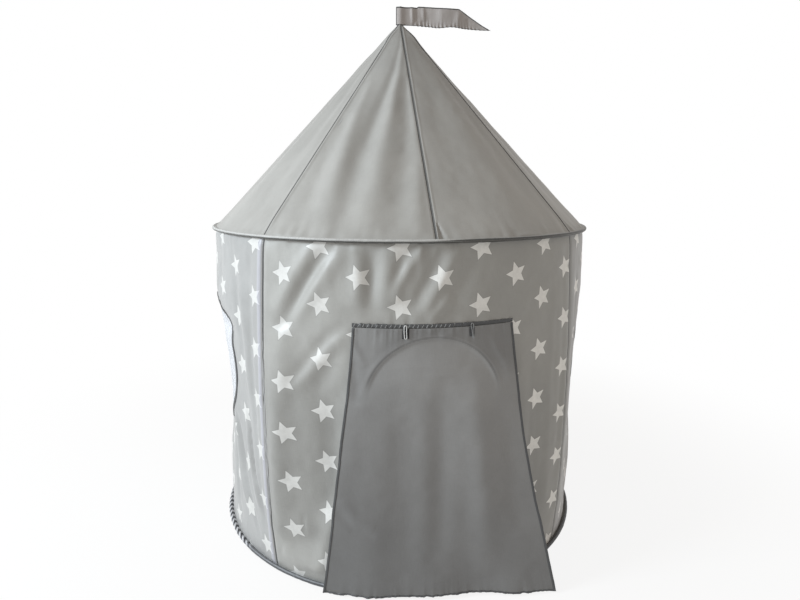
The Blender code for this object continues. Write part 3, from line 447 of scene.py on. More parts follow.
def hard_material(name, colour, rough, metallic=0.0, coat=0.0, streak=False):
    """Moulded plastic, glass-fibre rod or steel, with fine grain and light wear."""
    g = Graph(bpy.data.materials.new(name))
    where = g.node("TexCoord", 3)
    scale = g.scaled(where, 900, 900, 25) if streak else g.scaled(where, 350, 350, 350)
    grain = g.noise(scale, 1.0, 3.0, 0.6)
    wear = g.noise(g.scaled(where, 60, 60, 40), 1.0, 4.0, 0.65)
    shade = g.add(g.span(wear, 0.3, 0.75, 1.0, 0.86), g.mul(g.sub(grain, 0.5), 0.12))
    return g.set(Base_Color=g.scale(colour, shade), Roughness=g.span(wear, 0.3, 0.75, rough, rough + 0.12),
                 Metallic=metallic, Coat_Weight=coat, Coat_Roughness=0.2,
                 Normal=g.bump(grain, 0.2, 0.0002))


def net_material(name):
    """Fine white net: slanted threads with gaps between them."""
    g = Graph(bpy.data.materials.new(name))
    vector, u, v = g.uv("cloth")
    half_pitch = 0.0012

    def thread(a):
        return g.span(g.abs(g.wrap(a, half_pitch)), 0.00045, 0.0003)

    threads = g.math("MAXIMUM", thread(g.add(u, g.mul(v, 0.5))), thread(g.sub(v, g.mul(u, 0.5))))
    cloud = g.span(g.noise(vector, 12.0, 3.0), 0.3, 0.7, 0.94, 1.04)
    return g.set(Base_Color=g.scale((0.68, 0.685, 0.715), cloud), Roughness=0.7, Sheen_Weight=0.2,
                 Alpha=g.span(threads, 0.0, 1.0, 0.55, 1.0), Normal=g.bump(threads, 0.5, 0.0004))


def cord_material(name, colour):
    """Twisted cord or thread."""
    g = Graph(bpy.data.materials.new(name))
    _, u, v = g.uv("cloth")
    lay = g.math("SINE", g.add(g.mul(u, 3600.0), g.mul(v, 300.0)))
    return g.set(Base_Color=g.scale(colour, g.span(lay, -1.0, 1.0, 0.82, 1.08)), Roughness=0.75,
                 Sheen_Weight=0.3, Normal=g.bump(lay, 0.5, 0.0003))


roof_cloth = cloth_material("roof_cloth", (0.322, 0.317, 0.303), rough=0.52, crinkle=0.14, gloss=0.38,
                            crown=0.86)
print_cloth = cloth_material("print_cloth", (0.325, 0.321, 0.306), stars=True, crinkle=0.48)
side_cloth = cloth_material("print_cloth_side", (0.325, 0.324, 0.320), stars=True, pole_glow=0.40,
                            crinkle=0.48)
inner_cloth = cloth_material("print_cloth_inner", (0.30, 0.298, 0.290), stars=True, print_shade=0.55,
                             seam_dark=0.0)
flap_cloth = cloth_material("flap_cloth", (0.194, 0.193, 0.192), seam_dark=0.3, painted_flap_shading=True)
tape_cloth = cloth_material("tape_cloth", (0.060, 0.061, 0.063), rough=0.55, seam_dark=0.0, crinkle=0.8)
# painted shadow: near-black cloth for the tab behind the left loop
shadow_tab_cloth = cloth_material("shadow_tab_cloth", (0.020, 0.020, 0.021), rough=0.6, seam_dark=0.0, gloss=0.2)
# painted light and shade on the hoops' casings: pale for the lit upper half on the left, dim for it on the
# right, dark for the shaded lower half
eave_cloth = casing_material("eave_casing_cloth", pale=(0.44, 0.44, 0.43), dim=(0.24, 0.235, 0.22),
                             underside_shade=(0.050, 0.049, 0.045), split=0.0006)
base_cloth = casing_material("base_casing_cloth", pale=(0.20, 0.205, 0.22), dim=(0.10, 0.098, 0.094),
                             underside_shade=(0.060, 0.061, 0.066), split=0.0036, twist_light_shade=0.9)
floor_cloth = cloth_material("floor_cloth", (0.16, 0.16, 0.16), rough=0.5, crinkle=0.4)
lining_cloth = cloth_material("lining_cloth", (0.30, 0.30, 0.30), crinkle=0.5, seam_dark=0.0)
flag_cloth = cloth_material("flag_cloth", (0.37, 0.345, 0.335), rough=0.55, seam_dark=0.95, crinkle=0.3,
                            gloss=0.3)
net = net_material("window_mesh")
# the pale and the dark elastic cord are one cord: painted lit for the left loop, painted in shade for the
# right
thread_cord, cord, painted_lit_cord, painted_shade_cord = (
    cord_material(name, (grey, grey, blue)) for name, grey, blue in (
        ("sewing_thread", 0.34, 0.34), ("elastic_cord", 0.36, 0.36),
        ("elastic_cord_painted_lit", 0.62, 0.61), ("elastic_cord_painted_shade", 0.20, 0.20)))
fibre = hard_material("glass_fibre", (0.72, 0.72, 0.71), 0.35, streak=True, coat=0.2)
plastic = hard_material("moulded_plastic", (0.70, 0.70, 0.69), 0.4)
steel = hard_material("drawn_steel", (0.62, 0.62, 0.61), 0.28, metallic=1.0, streak=True)


# Walls

# Bulges of the wall round a window: depth, place (arc, height) and spread (arc, height)
DRAW = 0.24 / 1.6**0.5
WINDOW_FORMS = [
    (-1, [(-0.006, 0, 0.44, DRAW, DRAW), (0.004, 0, 0.675, 0.20, 0.050), (0.007, 0, 0.67, 0.28, 0.16),
          (-0.012, 0, 0.29, 0.24, 0.17), (-0.013, -0.125, 0.588, 0.055, 0.032),
          (0.008, -0.135, 0.37, 0.050, 0.07)]),
    (1, [(-0.013, 0, 0.44, DRAW, DRAW), (0.002, 0, 0.675, 0.20, 0.050), (0.010, 0, 0.67, 0.28, 0.16)]),
]

# Folds seen in the photograph; the arc runs from the door's middle
FOLDS = {
    "front_wall": fold_list(
        # the deep diagonal fold on the left, with a crest on both sides
        (15.5, -8.5, -222, 828, -244, 798, -266, 769, -289, 734, -311, 696, -334, 660, -356, 625),
        (18, 6, -262, 826, -285, 793, -312, 752, -338, 708, -368, 660),
        (20, 5, -190, 826, -212, 795, -240, 762, -270, 722, -300, 678, -325, 640),
        # tension from the flap's upper corner
        (15, -4.5, -190, 655, -228, 628, -257, 597, -281, 566, -308, 531, -345, 485),
        (16, 4, -186, 643, -214, 616, -243, 590, -272, 553, -302, 518, -343, 470),
        (20, -4, -205, 600, -230, 560, -262, 505, -290, 450),
        # soft folds above the flap
        (16, -6, -135, 830, -134, 770, -138, 720, -140, 665),
        (17, 4.5, -168, 830, -166, 760, -170, 690),
        (17, 4.5, -100, 830, -104, 760, -110, 690),
        (13, 5, -24, 830, -55, 785, -78, 745, -88, 700),
        (12, -3.5, -48, 826, -74, 780, -92, 735),
        (15, 4.8, 52, 830, 12, 748, -20, 692, -45, 665),
        (14, -4.2, 18, 826, -18, 750, -52, 688),
        (12, 4.5, 36, 725, 10, 690, -15, 660),
        (20, -4, 95, 828, 70, 770, 40, 700),
        (30, 2, 190, 828, 200, 740, 215, 660),
        # below, beside the seam and along the flap's edge
        (28, 10, -345, 640, -362, 440, -372, 240, -372, 90),
        (42, -12.5, -238, 560, -232, 400, -246, 220, -290, 150),
        (17, 7.5, -164, 520, -180, 400, -194, 270, -205, 150, -218, 50),
        (26, -5.5, -375, 125, -330, 95, -285, 105, -245, 150),
        (20, 6, -375, 60, -330, 45, -280, 45, -235, 60),
        (20, 6, -226, 230, -244, 150, -262, 80, -280, 30),
        (4, -2.2, -312, 176, -309, 150, -310, 122),
        (35, -3, 250, 620, 270, 400, 290, 100),
        (12, 1.4, 325, 780, 330, 450, 335, 120),
        (10, -1.4, 365, 780, 372, 450, 370, 100),
    ),
    "left_wall": fold_list(
        (12, -4.5, -452, 800, -458, 550, -452, 300, -440, 80),
        (13, 4, -504, 790, -492, 680, -485, 560, -480, 426),
        (14, -4.5, -535, 790, -526, 650, -512, 480),
        (6.5, -5, -508, 400, -498, 320, -479, 228, -450, 160, -424, 100),
        (10, 5.5, -522, 400, -512, 310, -494, 220, -462, 140),
        (8, -6, -584, 370, -572, 280, -554, 208, -512, 125, -465, 55),
        (11, 5.5, -602, 350, -592, 260, -574, 190, -530, 100),
        (12, -5, -660, 300, -640, 200, -610, 110, -580, 50),
        (12, -4, -625, 760, -645, 715, -690, 680),
        (22, 4.5, -800, 290, -790, 180, -790, 60),
        (26, 5, -950, 780, -960, 550, -970, 120),
        (30, -5, -1050, 800, -1060, 450, -1070, 100),
    ),
    "right_wall": fold_list(
        (14, -2, 455, 800, 465, 500, 460, 80),
        (18, 2, 505, 800, 510, 500, 500, 100),
        (14, -5, 560, 340, 545, 200, 530, 70),
        (18, 4.5, 620, 310, 600, 180, 600, 60),
        (18, -5, 900, 300, 920, 180, 930, 60),
        (28, 5, 980, 780, 980, 500, 990, 120),
        (30, -4.5, 1080, 800, 1080, 450, 1090, 100),
    ),
    "back_wall": [],
}
for step in range(9):
    start, lean = -0.338 + 0.0846 * step, 0.024 * math.sin(2.1 * step)
    FOLDS["back_wall"].append(([(start, 0.80), (start + 0.3 * lean, 0.50), (start - lean, 0.06)],
                               0.022 + 0.003 * (step % 3), 0.0058 * (-1) ** step))
for start, end in ((-0.36, -0.16), (0.35, 0.12)):
    FOLDS["back_wall"] += [
        ([(start, 0.80), ((start + end) / 2, 0.68), (end, 0.50)], 0.017, 0.0055),
        ([(start * 0.9, 0.81), ((start + end) * 0.42, 0.70), (end * 0.7, 0.54)], 0.015, -0.0055)]


def signed_arc(az):
    return ((az + math.pi) % (2 * math.pi) - math.pi) * WALL_R


def bow(z):
    """How much a height shares in the walls' bow between the hoops."""
    return np.sin(math.pi * np.clip(z / EAVE_Z, 0.0, 1.0) ** 0.85) ** 0.75


def corner_bow(seam, z):
    return CORNER_BOW * bow(z) * (1 - smooth(seam / 0.12))


def seam_lean(az, z):
    """The angle by which the cloth pulls the two front seams round the drum."""
    pull = sum(pull * (1 - smooth(np.abs(az * WALL_R - at) / 0.165))
               for at, pull in ((-PANEL / 2, -0.010), (PANEL / 2, 0.009)))
    return pull * bow(z) / WALL_R


FLARE = 1.15


def flap_room(a, z):
    """How far the front wall may stand out where the flap hangs over it."""
    down = np.clip((HEADER_Z - z) / (HEADER_Z - HEM_Z), 0, 1)
    room = 0.0010 + 0.0225 * down**FLARE
    under = smooth((0.215 + 0.055 * down - np.abs(a)) / 0.02) * smooth((HEADER_Z + 0.016 - z) / 0.01)
    return room * under + 0.05 * (1 - under)


def wall_depth(name, a, z, local):
    """How far the cloth stands out from the wall's round form."""
    form = folded(local if name == "back_wall" else a, z, FOLDS[name]) * 1.2
    for side, bulges in WINDOW_FORMS:
        for depth, x0, z0, wide, high in bulges:
            form = form + depth * bell(side * a - WINDOW_ARC - x0, wide) * bell(z - z0, high)
    form = form + 0.0010 * noise(a, z, 0.045, 1) + 0.0008 * noise(a * 1.2, z * 0.6, 0.022, 2)
    top, foot, seam = WALL_TOP - z, z - WALL_BOTTOM, PANEL / 2 - np.abs(local)
    gather = noise(a, 0, 0.017, 3) + 0.6 * noise(a, 0, 0.008, 4)
    strain = 0.35 + 0.65 * smooth((noise(a, 0, 0.11, 7) + 0.35) / 0.5)
    if name == "front_wall":
        strain = strain * (0.35 + 0.65 * smooth((0.08 - a) / 0.1))
        header = fading(np.abs(z - 0.661), 0.012) * smooth((0.20 - np.abs(a)) / 0.02)
        form = form + 0.0019 * header * noise(a, 0, 0.0105, 5)
    ends = smooth(top / 0.020) * smooth(foot / 0.020)
    edge = 0.0030 * fading(top, 0.022) * smooth(top / 0.005)
    edge = edge + 0.0022 * fading(foot, 0.024) * smooth(foot / 0.005)
    form = form * ends * smooth(seam / 0.026) + edge * gather * strain * smooth(seam / 0.01)
    form = form + 0.0013 * ends * fading(seam, 0.02) * noise(z, 0, 0.021, 5)
    rod = 0.0030 * bell(seam - 0.0110, 0.0060) * ends * (0.3 if name in ("front_wall", "right_wall") else 1)
    dip = -0.0026 * bell(seam, 0.0028) * smooth(top / 0.006) * smooth(foot / 0.006)
    total = form + rod + dip + corner_bow(seam, z) - 0.0003
    return np.minimum(total, flap_room(a, z)) if name == "front_wall" else total


def door_outline(grow):
    """The doorway's edge as (arc, height) points."""
    arch, foot, sill = ARCH_R + grow, DOOR_FOOT + grow, DOOR_SILL - grow
    turn = np.linspace(0, math.pi, 60)
    corners = [(-arch, ARCH_Z), (-foot, sill), (foot, sill), (arch, ARCH_Z)]
    sides = [np.linspace(a, b, count)[1:] for a, b, count in zip(corners, corners[1:], (41, 61, 41))]
    return np.concatenate([np.stack([arch * np.cos(turn), ARCH_Z + arch * np.sin(turn)], 1), *sides])[:-1]


def window_outline(side, grow):
    turn = np.linspace(0, 2 * math.pi, 180, endpoint=False)
    r = WINDOW_R + grow
    return np.stack([side * WINDOW_ARC + r * np.cos(turn), WINDOW_Z + r * np.sin(turn)], axis=1)


def inside_polygon(x, y, poly):
    result = np.zeros(x.shape, bool)
    x1, y1 = poly[-1]
    for x2, y2 in poly:
        result ^= ((y1 > y) != (y2 > y)) & (x < (x2 - x1) * (y - y1) / (y2 - y1 + 1e-12) + x1)
        x1, y1 = x2, y2
    return result


def snap_to(x, y, near, poly):
    """Moves the chosen grid points onto the polygon."""
    px, py = x[near][:, None], y[near][:, None]
    d = np.roll(poly, -1, axis=0) - poly
    t = np.clip(((px - poly[:, 0]) * d[:, 0] + (py - poly[:, 1]) * d[:, 1]) / (d**2).sum(1), 0, 1)
    qx, qy = poly[:, 0] + t * d[:, 0], poly[:, 1] + t * d[:, 1]
    best = ((qx - px) ** 2 + (qy - py) ** 2).argmin(1)
    row = np.arange(len(best))
    x[near], y[near] = qx[row, best], qy[row, best]


def wall_surface(name, middle, local, z, lift=0.0):
    az = middle + local / WALL_R
    a = middle * WALL_R + local if name == "back_wall" else signed_arc(az)
    return round_points(az + seam_lean(az, z), WALL_R + wall_depth(name, a, z, local) + lift, z)


WALL_CELL = 0.0050


def build_wall(name, middle, opening=None):
    nu, nv = int(PANEL / WALL_CELL) + 1, int((WALL_TOP - WALL_BOTTOM) / WALL_CELL) + 1
    bunch = np.linspace(-1, 1, nu)
    local = (bunch * 0.985 + 0.015 * bunch**5) * PANEL / 2
    aa, zz = np.meshgrid(local, np.linspace(WALL_BOTTOM, WALL_TOP, nv), indexing="ij")
    keep, hole = None, 0.0
    if opening is not None:
        poly = opening - (middle * WALL_R, 0.0)
        keep = ~inside_polygon((aa[:-1, :-1] + aa[1:, 1:]) / 2, (zz[:-1, :-1] + zz[1:, 1:]) / 2, poly)
        touched = np.zeros((nu, nv), int)
        for di in (0, 1):
            for dj in (0, 1):
                touched[di:nu - 1 + di, dj:nv - 1 + dj] += ~keep
        snap_to(aa, zz, (touched > 0) & (touched < 4), poly)
        nxt = np.roll(opening, -1, axis=0)
        hole = abs((opening[:, 0] * nxt[:, 1] - nxt[:, 0] * opening[:, 1]).sum() / 2)
    maps = {"cloth": (middle * WALL_R + aa, zz), "seam": (PANEL / 2 - np.abs(aa), zz)}
    outer = side_cloth if name in ("left_wall", "right_wall") else print_cloth
    obj = shell(name + "_cloth", wall_surface(name, middle, aa, zz), maps, [outer, inner_cloth],
                ("star_cloth", name, "tent"), keep=keep)


def tape_round(name, wall, middle, inner, outer, node):
    """A folded tape sewn round an opening, over the wall's edge."""
    rows = 7
    t = np.linspace(0, 1, rows)
    edge = inner[:, None] * (1 - t[:, None]) + outer[:, None] * t[:, None]
    local, z = edge[..., 0] - middle * WALL_R, edge[..., 1]
    step = np.linalg.norm(np.roll(inner, -1, axis=0) - inner, axis=1)
    length = np.concatenate([[0], np.cumsum(step)[:-1]])[:, None]
    wide = np.linalg.norm(outer - inner, axis=1).mean()
    swell = 0.0009 * np.sin(math.pi * t).clip(0) ** 0.5 + 0.0002 * noise(length, t, 0.004, 6)
    p = wall_surface(wall, middle, local, z, 0.0006)
    p = p + round_points(middle + local / WALL_R, 1.0, 0) * swell[..., None]
    maps = {"cloth": (length, t * wide), "seam": ((1 - t) * wide, length)}
    shell(name, p, maps, [tape_cloth], ("edge_tape", node, "tent"), thick=0.0008, closed=True)


def build_net(side, label):
    """The net drawn tight across a window, flatter than the wall round it."""
    wall = label + "_wall"
    rho = np.linspace(0.0, 1.0, 40) * NET_R
    turn = np.linspace(0, 2 * math.pi, 120, endpoint=False)[:, None]
    a, z = rho * np.cos(turn) + side * WINDOW_ARC, WINDOW_Z + rho * np.sin(turn)
    middle = side * QUARTER
    local = a - middle * WALL_R
    flat = np.clip(1 - (rho / WINDOW_R) ** 2, 0, 1)
    deep = ((0.0020 if side < 0 else 0.0045) + 0.0010 * noise(a, z, 0.05, 2)) * flat
    p = wall_surface(wall, middle, local, z, -0.0014)
    p = p - round_points(middle + local / WALL_R, 1.0, 0) * deep[..., None]
    obj = shell(label + "_net_cloth", p, {"cloth": (a, z)}, [net],
                ("window_net", label + "_window_net", "tent"), thick=0.0002, closed=True, flip=True)


TAPE_INSIDE, TAPE_OUTSIDE = -0.0015, 0.0075
build_wall("front_wall", 0.0, door_outline(0.0))
for side, label in SIDES:
    build_wall(label + "_wall", side * QUARTER, window_outline(side, 0.0))
build_wall("back_wall", math.pi)
tape_round("doorway_tape", "front_wall", 0.0, door_outline(TAPE_INSIDE), door_outline(TAPE_OUTSIDE),
           "doorway_binding")
for side, label in SIDES:
    tape_round(label + "_window_tape", label + "_wall", side * QUARTER, window_outline(side, TAPE_INSIDE),
               window_outline(side, TAPE_OUTSIDE), label + "_window_binding")
for side, label in SIDES:
    build_net(side, label)

# Roof

ROOF_RISE, ROOF_RUN = TIP_Z - ROOF_FOOT_Z, ROOF_FOOT_R - TIP_R
SLOPE = math.atan2(ROOF_RISE, ROOF_RUN)
SLANT = math.hypot(ROOF_RISE, ROOF_RUN)
GORE = math.pi / 4

# Folds of the roof: points (share of the way up, degrees from the door's middle), width, height
ROOF_FOLDS = [
    ([(0.03, -24.4), (0.20, -24.0), (0.34, -23.8), (0.55, -21.5), (0.70, -17.0), (0.85, -11.5),
      (0.95, -6.0)], 4.2, -0.0100),
    ([(0.03, -17.5), (0.15, -16.6), (0.30, -15.8), (0.45, -14.6), (0.62, -13.0), (0.80, -8.0),
      (0.93, -3.0)], 3.8, 0.0085),
    ([(0.03, -10.5), (0.20, -8.0), (0.34, -6.6), (0.50, -5.0), (0.68, -3.5)], 3.6, -0.0065),
    ([(0.03, -27.8), (0.20, -29.6), (0.34, -31.0), (0.50, -33.0), (0.66, -34.0)], 3.6, 0.0080),
    ([(0.03, -35.5), (0.20, -37.5), (0.34, -38.5), (0.50, -40.0)], 3.2, -0.0055),
    ([(0.02, -4.5), (0.14, -3.8), (0.26, -2.2)], 2.6, 0.0035),
    ([(0.05, 10.0), (0.50, 12.0), (0.92, 16.0)], 6.0, -0.0030),
    ([(0.05, 25.0), (0.50, 27.0), (0.92, 28.0)], 7.0, 0.0045),
    ([(0.05, 37.0), (0.50, 37.0), (0.80, 37.0)], 3.5, -0.0030),
]
for gore in range(1, 7):
    lean = 4.5 * math.sin(1.7 * gore)
    strong = 0.0077 + 0.0021 * math.cos(2.3 * gore)
    for share, shift, height in ((0.25, 0.5, -strong), (0.50, 1.0, strong - 0.0028),
                                 (0.75, 0.5, 0.0028 - strong)):
        az = (gore + share) * 45
        ROOF_FOLDS.append(([(0.03, az), (0.97, az + shift * lean)], 4.4 + 0.5 * math.sin(5 * az),
                           height / 1.25))


def roof_depth(az, s, r, arc, seam):
    """How far the roof's cloth stands off its cone; s runs from the foot to the tip."""
    degrees = np.degrees(az)
    form = 0.0
    for path, width, height in ROOF_FOLDS:
        share, middle = np.array(path).T
        d = (degrees - np.interp(s, share, middle) + 180) % 360 - 180
        t = np.clip((s - share[0] + 0.03) / (share[-1] + 0.06 - share[0]), 0, 1)
        form = form + 0.90 * height * bell(d, width) * np.sin(math.pi * t) ** 0.5
    form = form * (0.12 + 0.88 * smooth((r - 0.03) / 0.26))
    foot, tip = s * SLANT, (1 - s) * SLANT
    share = seam / np.maximum(GORE / 2 * r, 1e-6)
    hang = -0.0022 * smooth(share) * np.sin(math.pi * np.clip(s, 0, 1)) ** 0.8
    fine = 0.0009 * noise(arc, foot * 0.7, 0.05, 1) + 0.0005 * noise(arc * 1.3, foot * 0.7, 0.022, 2)
    gather = noise(arc, 0, 0.015, 3) + 0.7 * noise(arc, 0, 0.007, 4)
    strain = 0.3 + 0.7 * smooth((noise(arc, 0, 0.10, 6) + 0.3) / 0.5)
    pleat = 0.0030 * gather * strain * fading(foot, 0.026) * smooth(foot / 0.006) * smooth(share / 0.05)
    tuck_x = (degrees - 0.5) * math.radians(1) * r
    tuck = smooth(tuck_x / 0.003) * smooth((0.002 + 0.018 * (1 - foot / 0.055) - tuck_x) / 0.004)
    tuck = -0.0045 * tuck * smooth((0.055 - foot) / 0.012) * smooth(foot / 0.004)
    form = (form + fine) * smooth(foot / 0.03) * smooth(share / 0.16) + hang
    pole = np.abs((az % QUARTER) - QUARTER / 2) * r
    rod = 0.0026 * bell(pole, 0.0080) * smooth(foot / 0.05) * smooth(tip / 0.06)
    knob = 0.0020 * bell(tip - 0.048, 0.024) * np.cos(2 * (az - GORE)) ** 2
    signed = ((az + GORE / 2) % GORE - GORE / 2) * r
    fell = 0.0009 * smooth(signed / 0.0015) * smooth((0.0085 - signed) / 0.0015)
    fell = fell * smooth(tip / 0.03) * smooth(foot / 0.004)
    dip = -0.0016 * bell(seam, 0.0022) * smooth(tip / 0.02)
    return form * smooth(tip / 0.07) + pleat + tuck + rod + knob + dip + fell


def build_roof():
    u = np.linspace(0, 1, 60, endpoint=False)
    u = 0.25 * u + 0.75 * (0.5 - 0.5 * np.cos(math.pi * u))
    az = np.concatenate([(k + u) * GORE for k in range(8)])
    az, s = np.meshgrid(az, np.linspace(0, 1, 190), indexing="ij")
    r = ROOF_FOOT_R - ROOF_RUN * s
    gore = np.floor(az / GORE + 1e-9)
    # each gore has its own stretch of cloth, so that no noise runs in rings round the roof
    arc = (az - GORE * (gore + 0.5)) * r + gore * 0.5
    seam = np.abs((az + GORE / 2) % GORE - GORE / 2) * r
    depth = roof_depth(az, s, r, arc, seam)
    p = round_points(az, r + depth * math.sin(SLOPE), ROOF_FOOT_Z + ROOF_RISE * s + depth * math.cos(SLOPE))
    obj = shell("roof_cloth_piece", p, {"cloth": (arc, s * SLANT), "seam": (seam, s * SLANT)},
                [roof_cloth], ("plain_cloth", "roof_canopy", "tent"), closed=True)


build_roof()

# Hoops in their pipings, and the groundsheet


def build_piping(name, node, material, middle_z, flange_drop, twist, size):
    """A sewn casing round a hoop, with its flange, puckered where it is stitched."""
    stations, sides = 900, 20
    az, t = np.meshgrid(np.linspace(0, 2 * math.pi, stations, endpoint=False),
                        np.linspace(0, 2 * math.pi, sides, endpoint=False), indexing="ij")
    arc = signed_arc(az) * HOOP_R / WALL_R
    strain = smooth((arc + 0.86) / 0.06) * smooth((-0.50 - arc) / 0.06)
    pucker = 0.00035 * noise(arc, t * 0.004, 0.010, 3) + 0.0003 * noise(arc, t * 0.002, 0.035, 4)
    ropes = np.sin(arc * (2 * math.pi / TWIST_PITCH) + 1.97 * t) * twist * (0.10 + 0.90 * strain)
    r = size + pucker + 0.0006 * ropes
    inner = np.cos(t) < -0.75
    x = HOOP_R + r * np.cos(t) - 0.0042 * inner
    z = middle_z + np.where(inner, flange_drop + 0.0009 * np.sign(np.sin(t)), r * np.sin(t))
    p = round_points(az, x, np.maximum(z, 0.0001))
    uv = np.stack([arc, t * 0.0047], -1)
    make_piece(name, p.reshape(-1, 3), grid_quads(stations, sides, True, True).reshape(-1, 4).tolist(),
               {"cloth": uv.reshape(-1, 2)}, [material], ("edge_tape", node, "tent"), sharp=60)


build_piping("eave_casing", "eave_piping", eave_cloth, middle_z=EAVE_Z, flange_drop=0.0, twist=0.10,
             size=0.0044)
build_piping("base_casing", "base_piping", base_cloth, middle_z=0.0052, flange_drop=-0.0022, twist=1.0,
             size=0.0047)


def build_floor():
    rho = np.linspace(0.0, 1.0, 60) * FLOOR_R
    turn = np.linspace(0, 2 * math.pi, 180, endpoint=False)[:, None]
    x, y = rho * np.cos(turn), rho * np.sin(turn)
    wave = 0.0016 * (noise(x, y, 0.11, 5) + 0.6 * noise(x, y, 0.05, 6)) * smooth((FLOOR_R - rho) / 0.05)
    maps = {"cloth": (x, y), "seam": (FLOOR_R - rho, turn * FLOOR_R)}
    obj = shell("floor_cloth_piece", points(x, y, 0.0009 + np.maximum(0, wave)), maps, [floor_cloth],
                ("groundsheet_cloth", "groundsheet", "tent"), thick=0.0008, closed=True)


build_floor()

# Door flap

FLAP_OUT = 0.0017
FLAP_LENGTH = 0.65
FLAP_SIDE = 0.22
HEM_R = 0.5334
HEM_LEFT, HEM_RIGHT = 0.251, 0.292


def flap_half(down):
    return 0.182 + 0.09 * down


def flap_points(across, down):
    """The flap: across runs from -1 to 1, down from 0 at its head to 1 at its hem."""
    az = across * np.where(across < 0, HEAD_LEFT, HEAD_RIGHT) / WALL_R
    head = round_points(az, WALL_R + FLAP_OUT, FLAP_HEAD)
    right, left = np.maximum(across, 0), np.maximum(-across, 0)
    hem_x = HEM_RIGHT * right - HEM_LEFT * left
    reach = HEM_R + 0.117 * right**2 + 0.001 * left**2
    hem = points(hem_x, -reach * np.cos(hem_x / HEM_R), HEM_Z + 0.008 * (1 - across**2))
    p = head + (hem - head) * points(down**FLARE, down**FLARE, down)
    p[..., 0] -= 0.007 * right**2 * np.sin(math.pi * np.clip(down, 0, 1)) ** 2
    ripple = 0.006 * down**2 * (0.5 + 0.5 * np.sin(math.pi * (3.2 * across + 0.4)))
    return p, round_points(az, 1.0, 0), ripple


# Soft folds of the flap
FLAP_FOLDS = fold_list(
    (30, -8.5, 15, 540, 18, 360, 15, 180, 0, 50),
    (32, 8.8, 86, 560, 102, 380, 116, 200, 122, 50),
    (55, -8, -60, 560, -66, 320, -70, 150, -75, 40),
    (40, 7, -190, 480, -205, 300, -225, 120),
    (30, -5, 168, 480, 186, 320, 204, 150),
    (12, 2.6, -205, 250, -175, 205, -130, 185),
    (10, -2.2, -215, 215, -180, 175, -130, 160),
    (9, 2.4, -186, 630, -168, 600, -150, 560),
    (10, -2.2, -176, 570, -168, 520, -172, 470),
    (8, 2.6, 120, 640, 142, 600, 165, 560, 178, 520),
    (7, -2.2, 150, 640, 160, 610, 182, 585),
    (8, 2.2, 178, 620, 172, 570, 186, 530),
    (6, 1.4, 0, 640, 20, 632, 50, 636),
)


def doorway_distance(x, z):
    """How far outside the doorway's arch a point of the flap hangs."""
    return np.where(z > ARCH_Z, np.hypot(x, z - ARCH_Z) - ARCH_R,
                    np.abs(x) - ARCH_R - 0.10 * np.maximum(ARCH_Z - z, 0))


def flap_relief(x, z, down, across):
    """The doorway's edge pressed through the flap, its soft folds and its gathered hems."""
    d, below = doorway_distance(x, z), FLAP_HEAD - z
    ridge = 0.0009 * bell(d - 0.005, 0.0050)
    sink = -0.0024 * smooth(-(d + 0.0005) / 0.009) * smooth(below / 0.03)
    ease = 0.0024 * smooth(-(d + 0.008) / 0.06)
    head = 0.0024 * (noise(across, 0, 0.050, 1) + 0.6 * noise(across, 0, 0.022, 2)) * fading(below, 0.018)
    head = head * smooth(below / 0.004) * (0.2 + 0.8 * smooth((d + 0.002) / 0.008))
    hem = 0.0018 * (noise(across, 0, 0.060, 3) + 0.6 * noise(across, 0, 0.02, 4))
    hem = hem * fading((1 - down) * FLAP_LENGTH, 0.016)
    rumple = 0.0010 * noise(x, z, 0.06, 6) + 0.0006 * noise(x, z, 0.026, 7)
    total = (ridge + sink + ease) * smooth((z - 0.485) / 0.060) + head + hem
    total = total + rumple * smooth(below / 0.03) + folded(x, z, FLAP_FOLDS)
    outside = smooth((d + 0.002) / 0.004)
    clear = -0.0002 - 0.022 * down**FLARE
    return np.maximum(total, clear * outside + total * (1 - outside))


def flap_grid(across, down, extra=0.0):
    p, out, ripple = flap_points(across, down)
    depth = ripple + 0.0012 + flap_relief(p[..., 0], p[..., 2], down, across) + extra
    p = p + out * depth[..., None]
    hem = fading((1 - down) * FLAP_LENGTH, 0.012)
    p[..., 2] += hem * 0.0024 * noise(across, 0, 0.16, 5)
    edge = fading((1 - np.abs(across)) * FLAP_SIDE, 0.010)
    p[..., 0] += edge * 0.0008 * noise(down, 0, 0.060, 6)
    p[..., 2] = np.maximum(p[..., 2], 0.0012)
    return p


def build_flap():
    across, down = np.meshgrid(np.linspace(-1, 1, 170), np.linspace(0, 1, 220), indexing="ij")
    p = flap_grid(across, down)
    x, z = p[..., 0], p[..., 2]
    to_side, to_hem = (1 - np.abs(across)) * FLAP_SIDE, (1 - down) * FLAP_LENGTH
    edge = np.minimum(to_side, to_hem)
    along = np.where(edge < to_hem, down * FLAP_LENGTH, across * FLAP_SIDE)
    d = doorway_distance(x, z)
    # along the arch a dark line: the doorway's binding seen through the thin flap, deepened with painted
    # shade
    tape = smooth((d + 0.0015) / 0.0015) * smooth((0.0050 - d) / 0.003) * smooth((z - 0.505) / 0.04)
    # painted shade where the wall backs the thin flap above the arch, and painted light over the open
    # doorway inside it
    backed = smooth((d - 0.002) / 0.006) * smooth((z - 0.52) / 0.06) * smooth((x + 0.145) / 0.055)
    through = smooth(-(d + 0.002) / 0.010) * smooth((z - 0.43) / 0.14)
    maps = {"cloth": (across * flap_half(down), FLAP_LENGTH - down * FLAP_LENGTH),
            "seam": (edge + 0.003, along),
            "painted_flap_shading": (0.58 * tape * (0.8 + 0.2 * noise(x, z, 0.03, 2)), backed - 0.45 * through)}
    obj = shell("door_flap_cloth", p, maps, [flap_cloth], ("flap_cloth", "door_flap", ON_FLAP), flip=True)


build_flap()


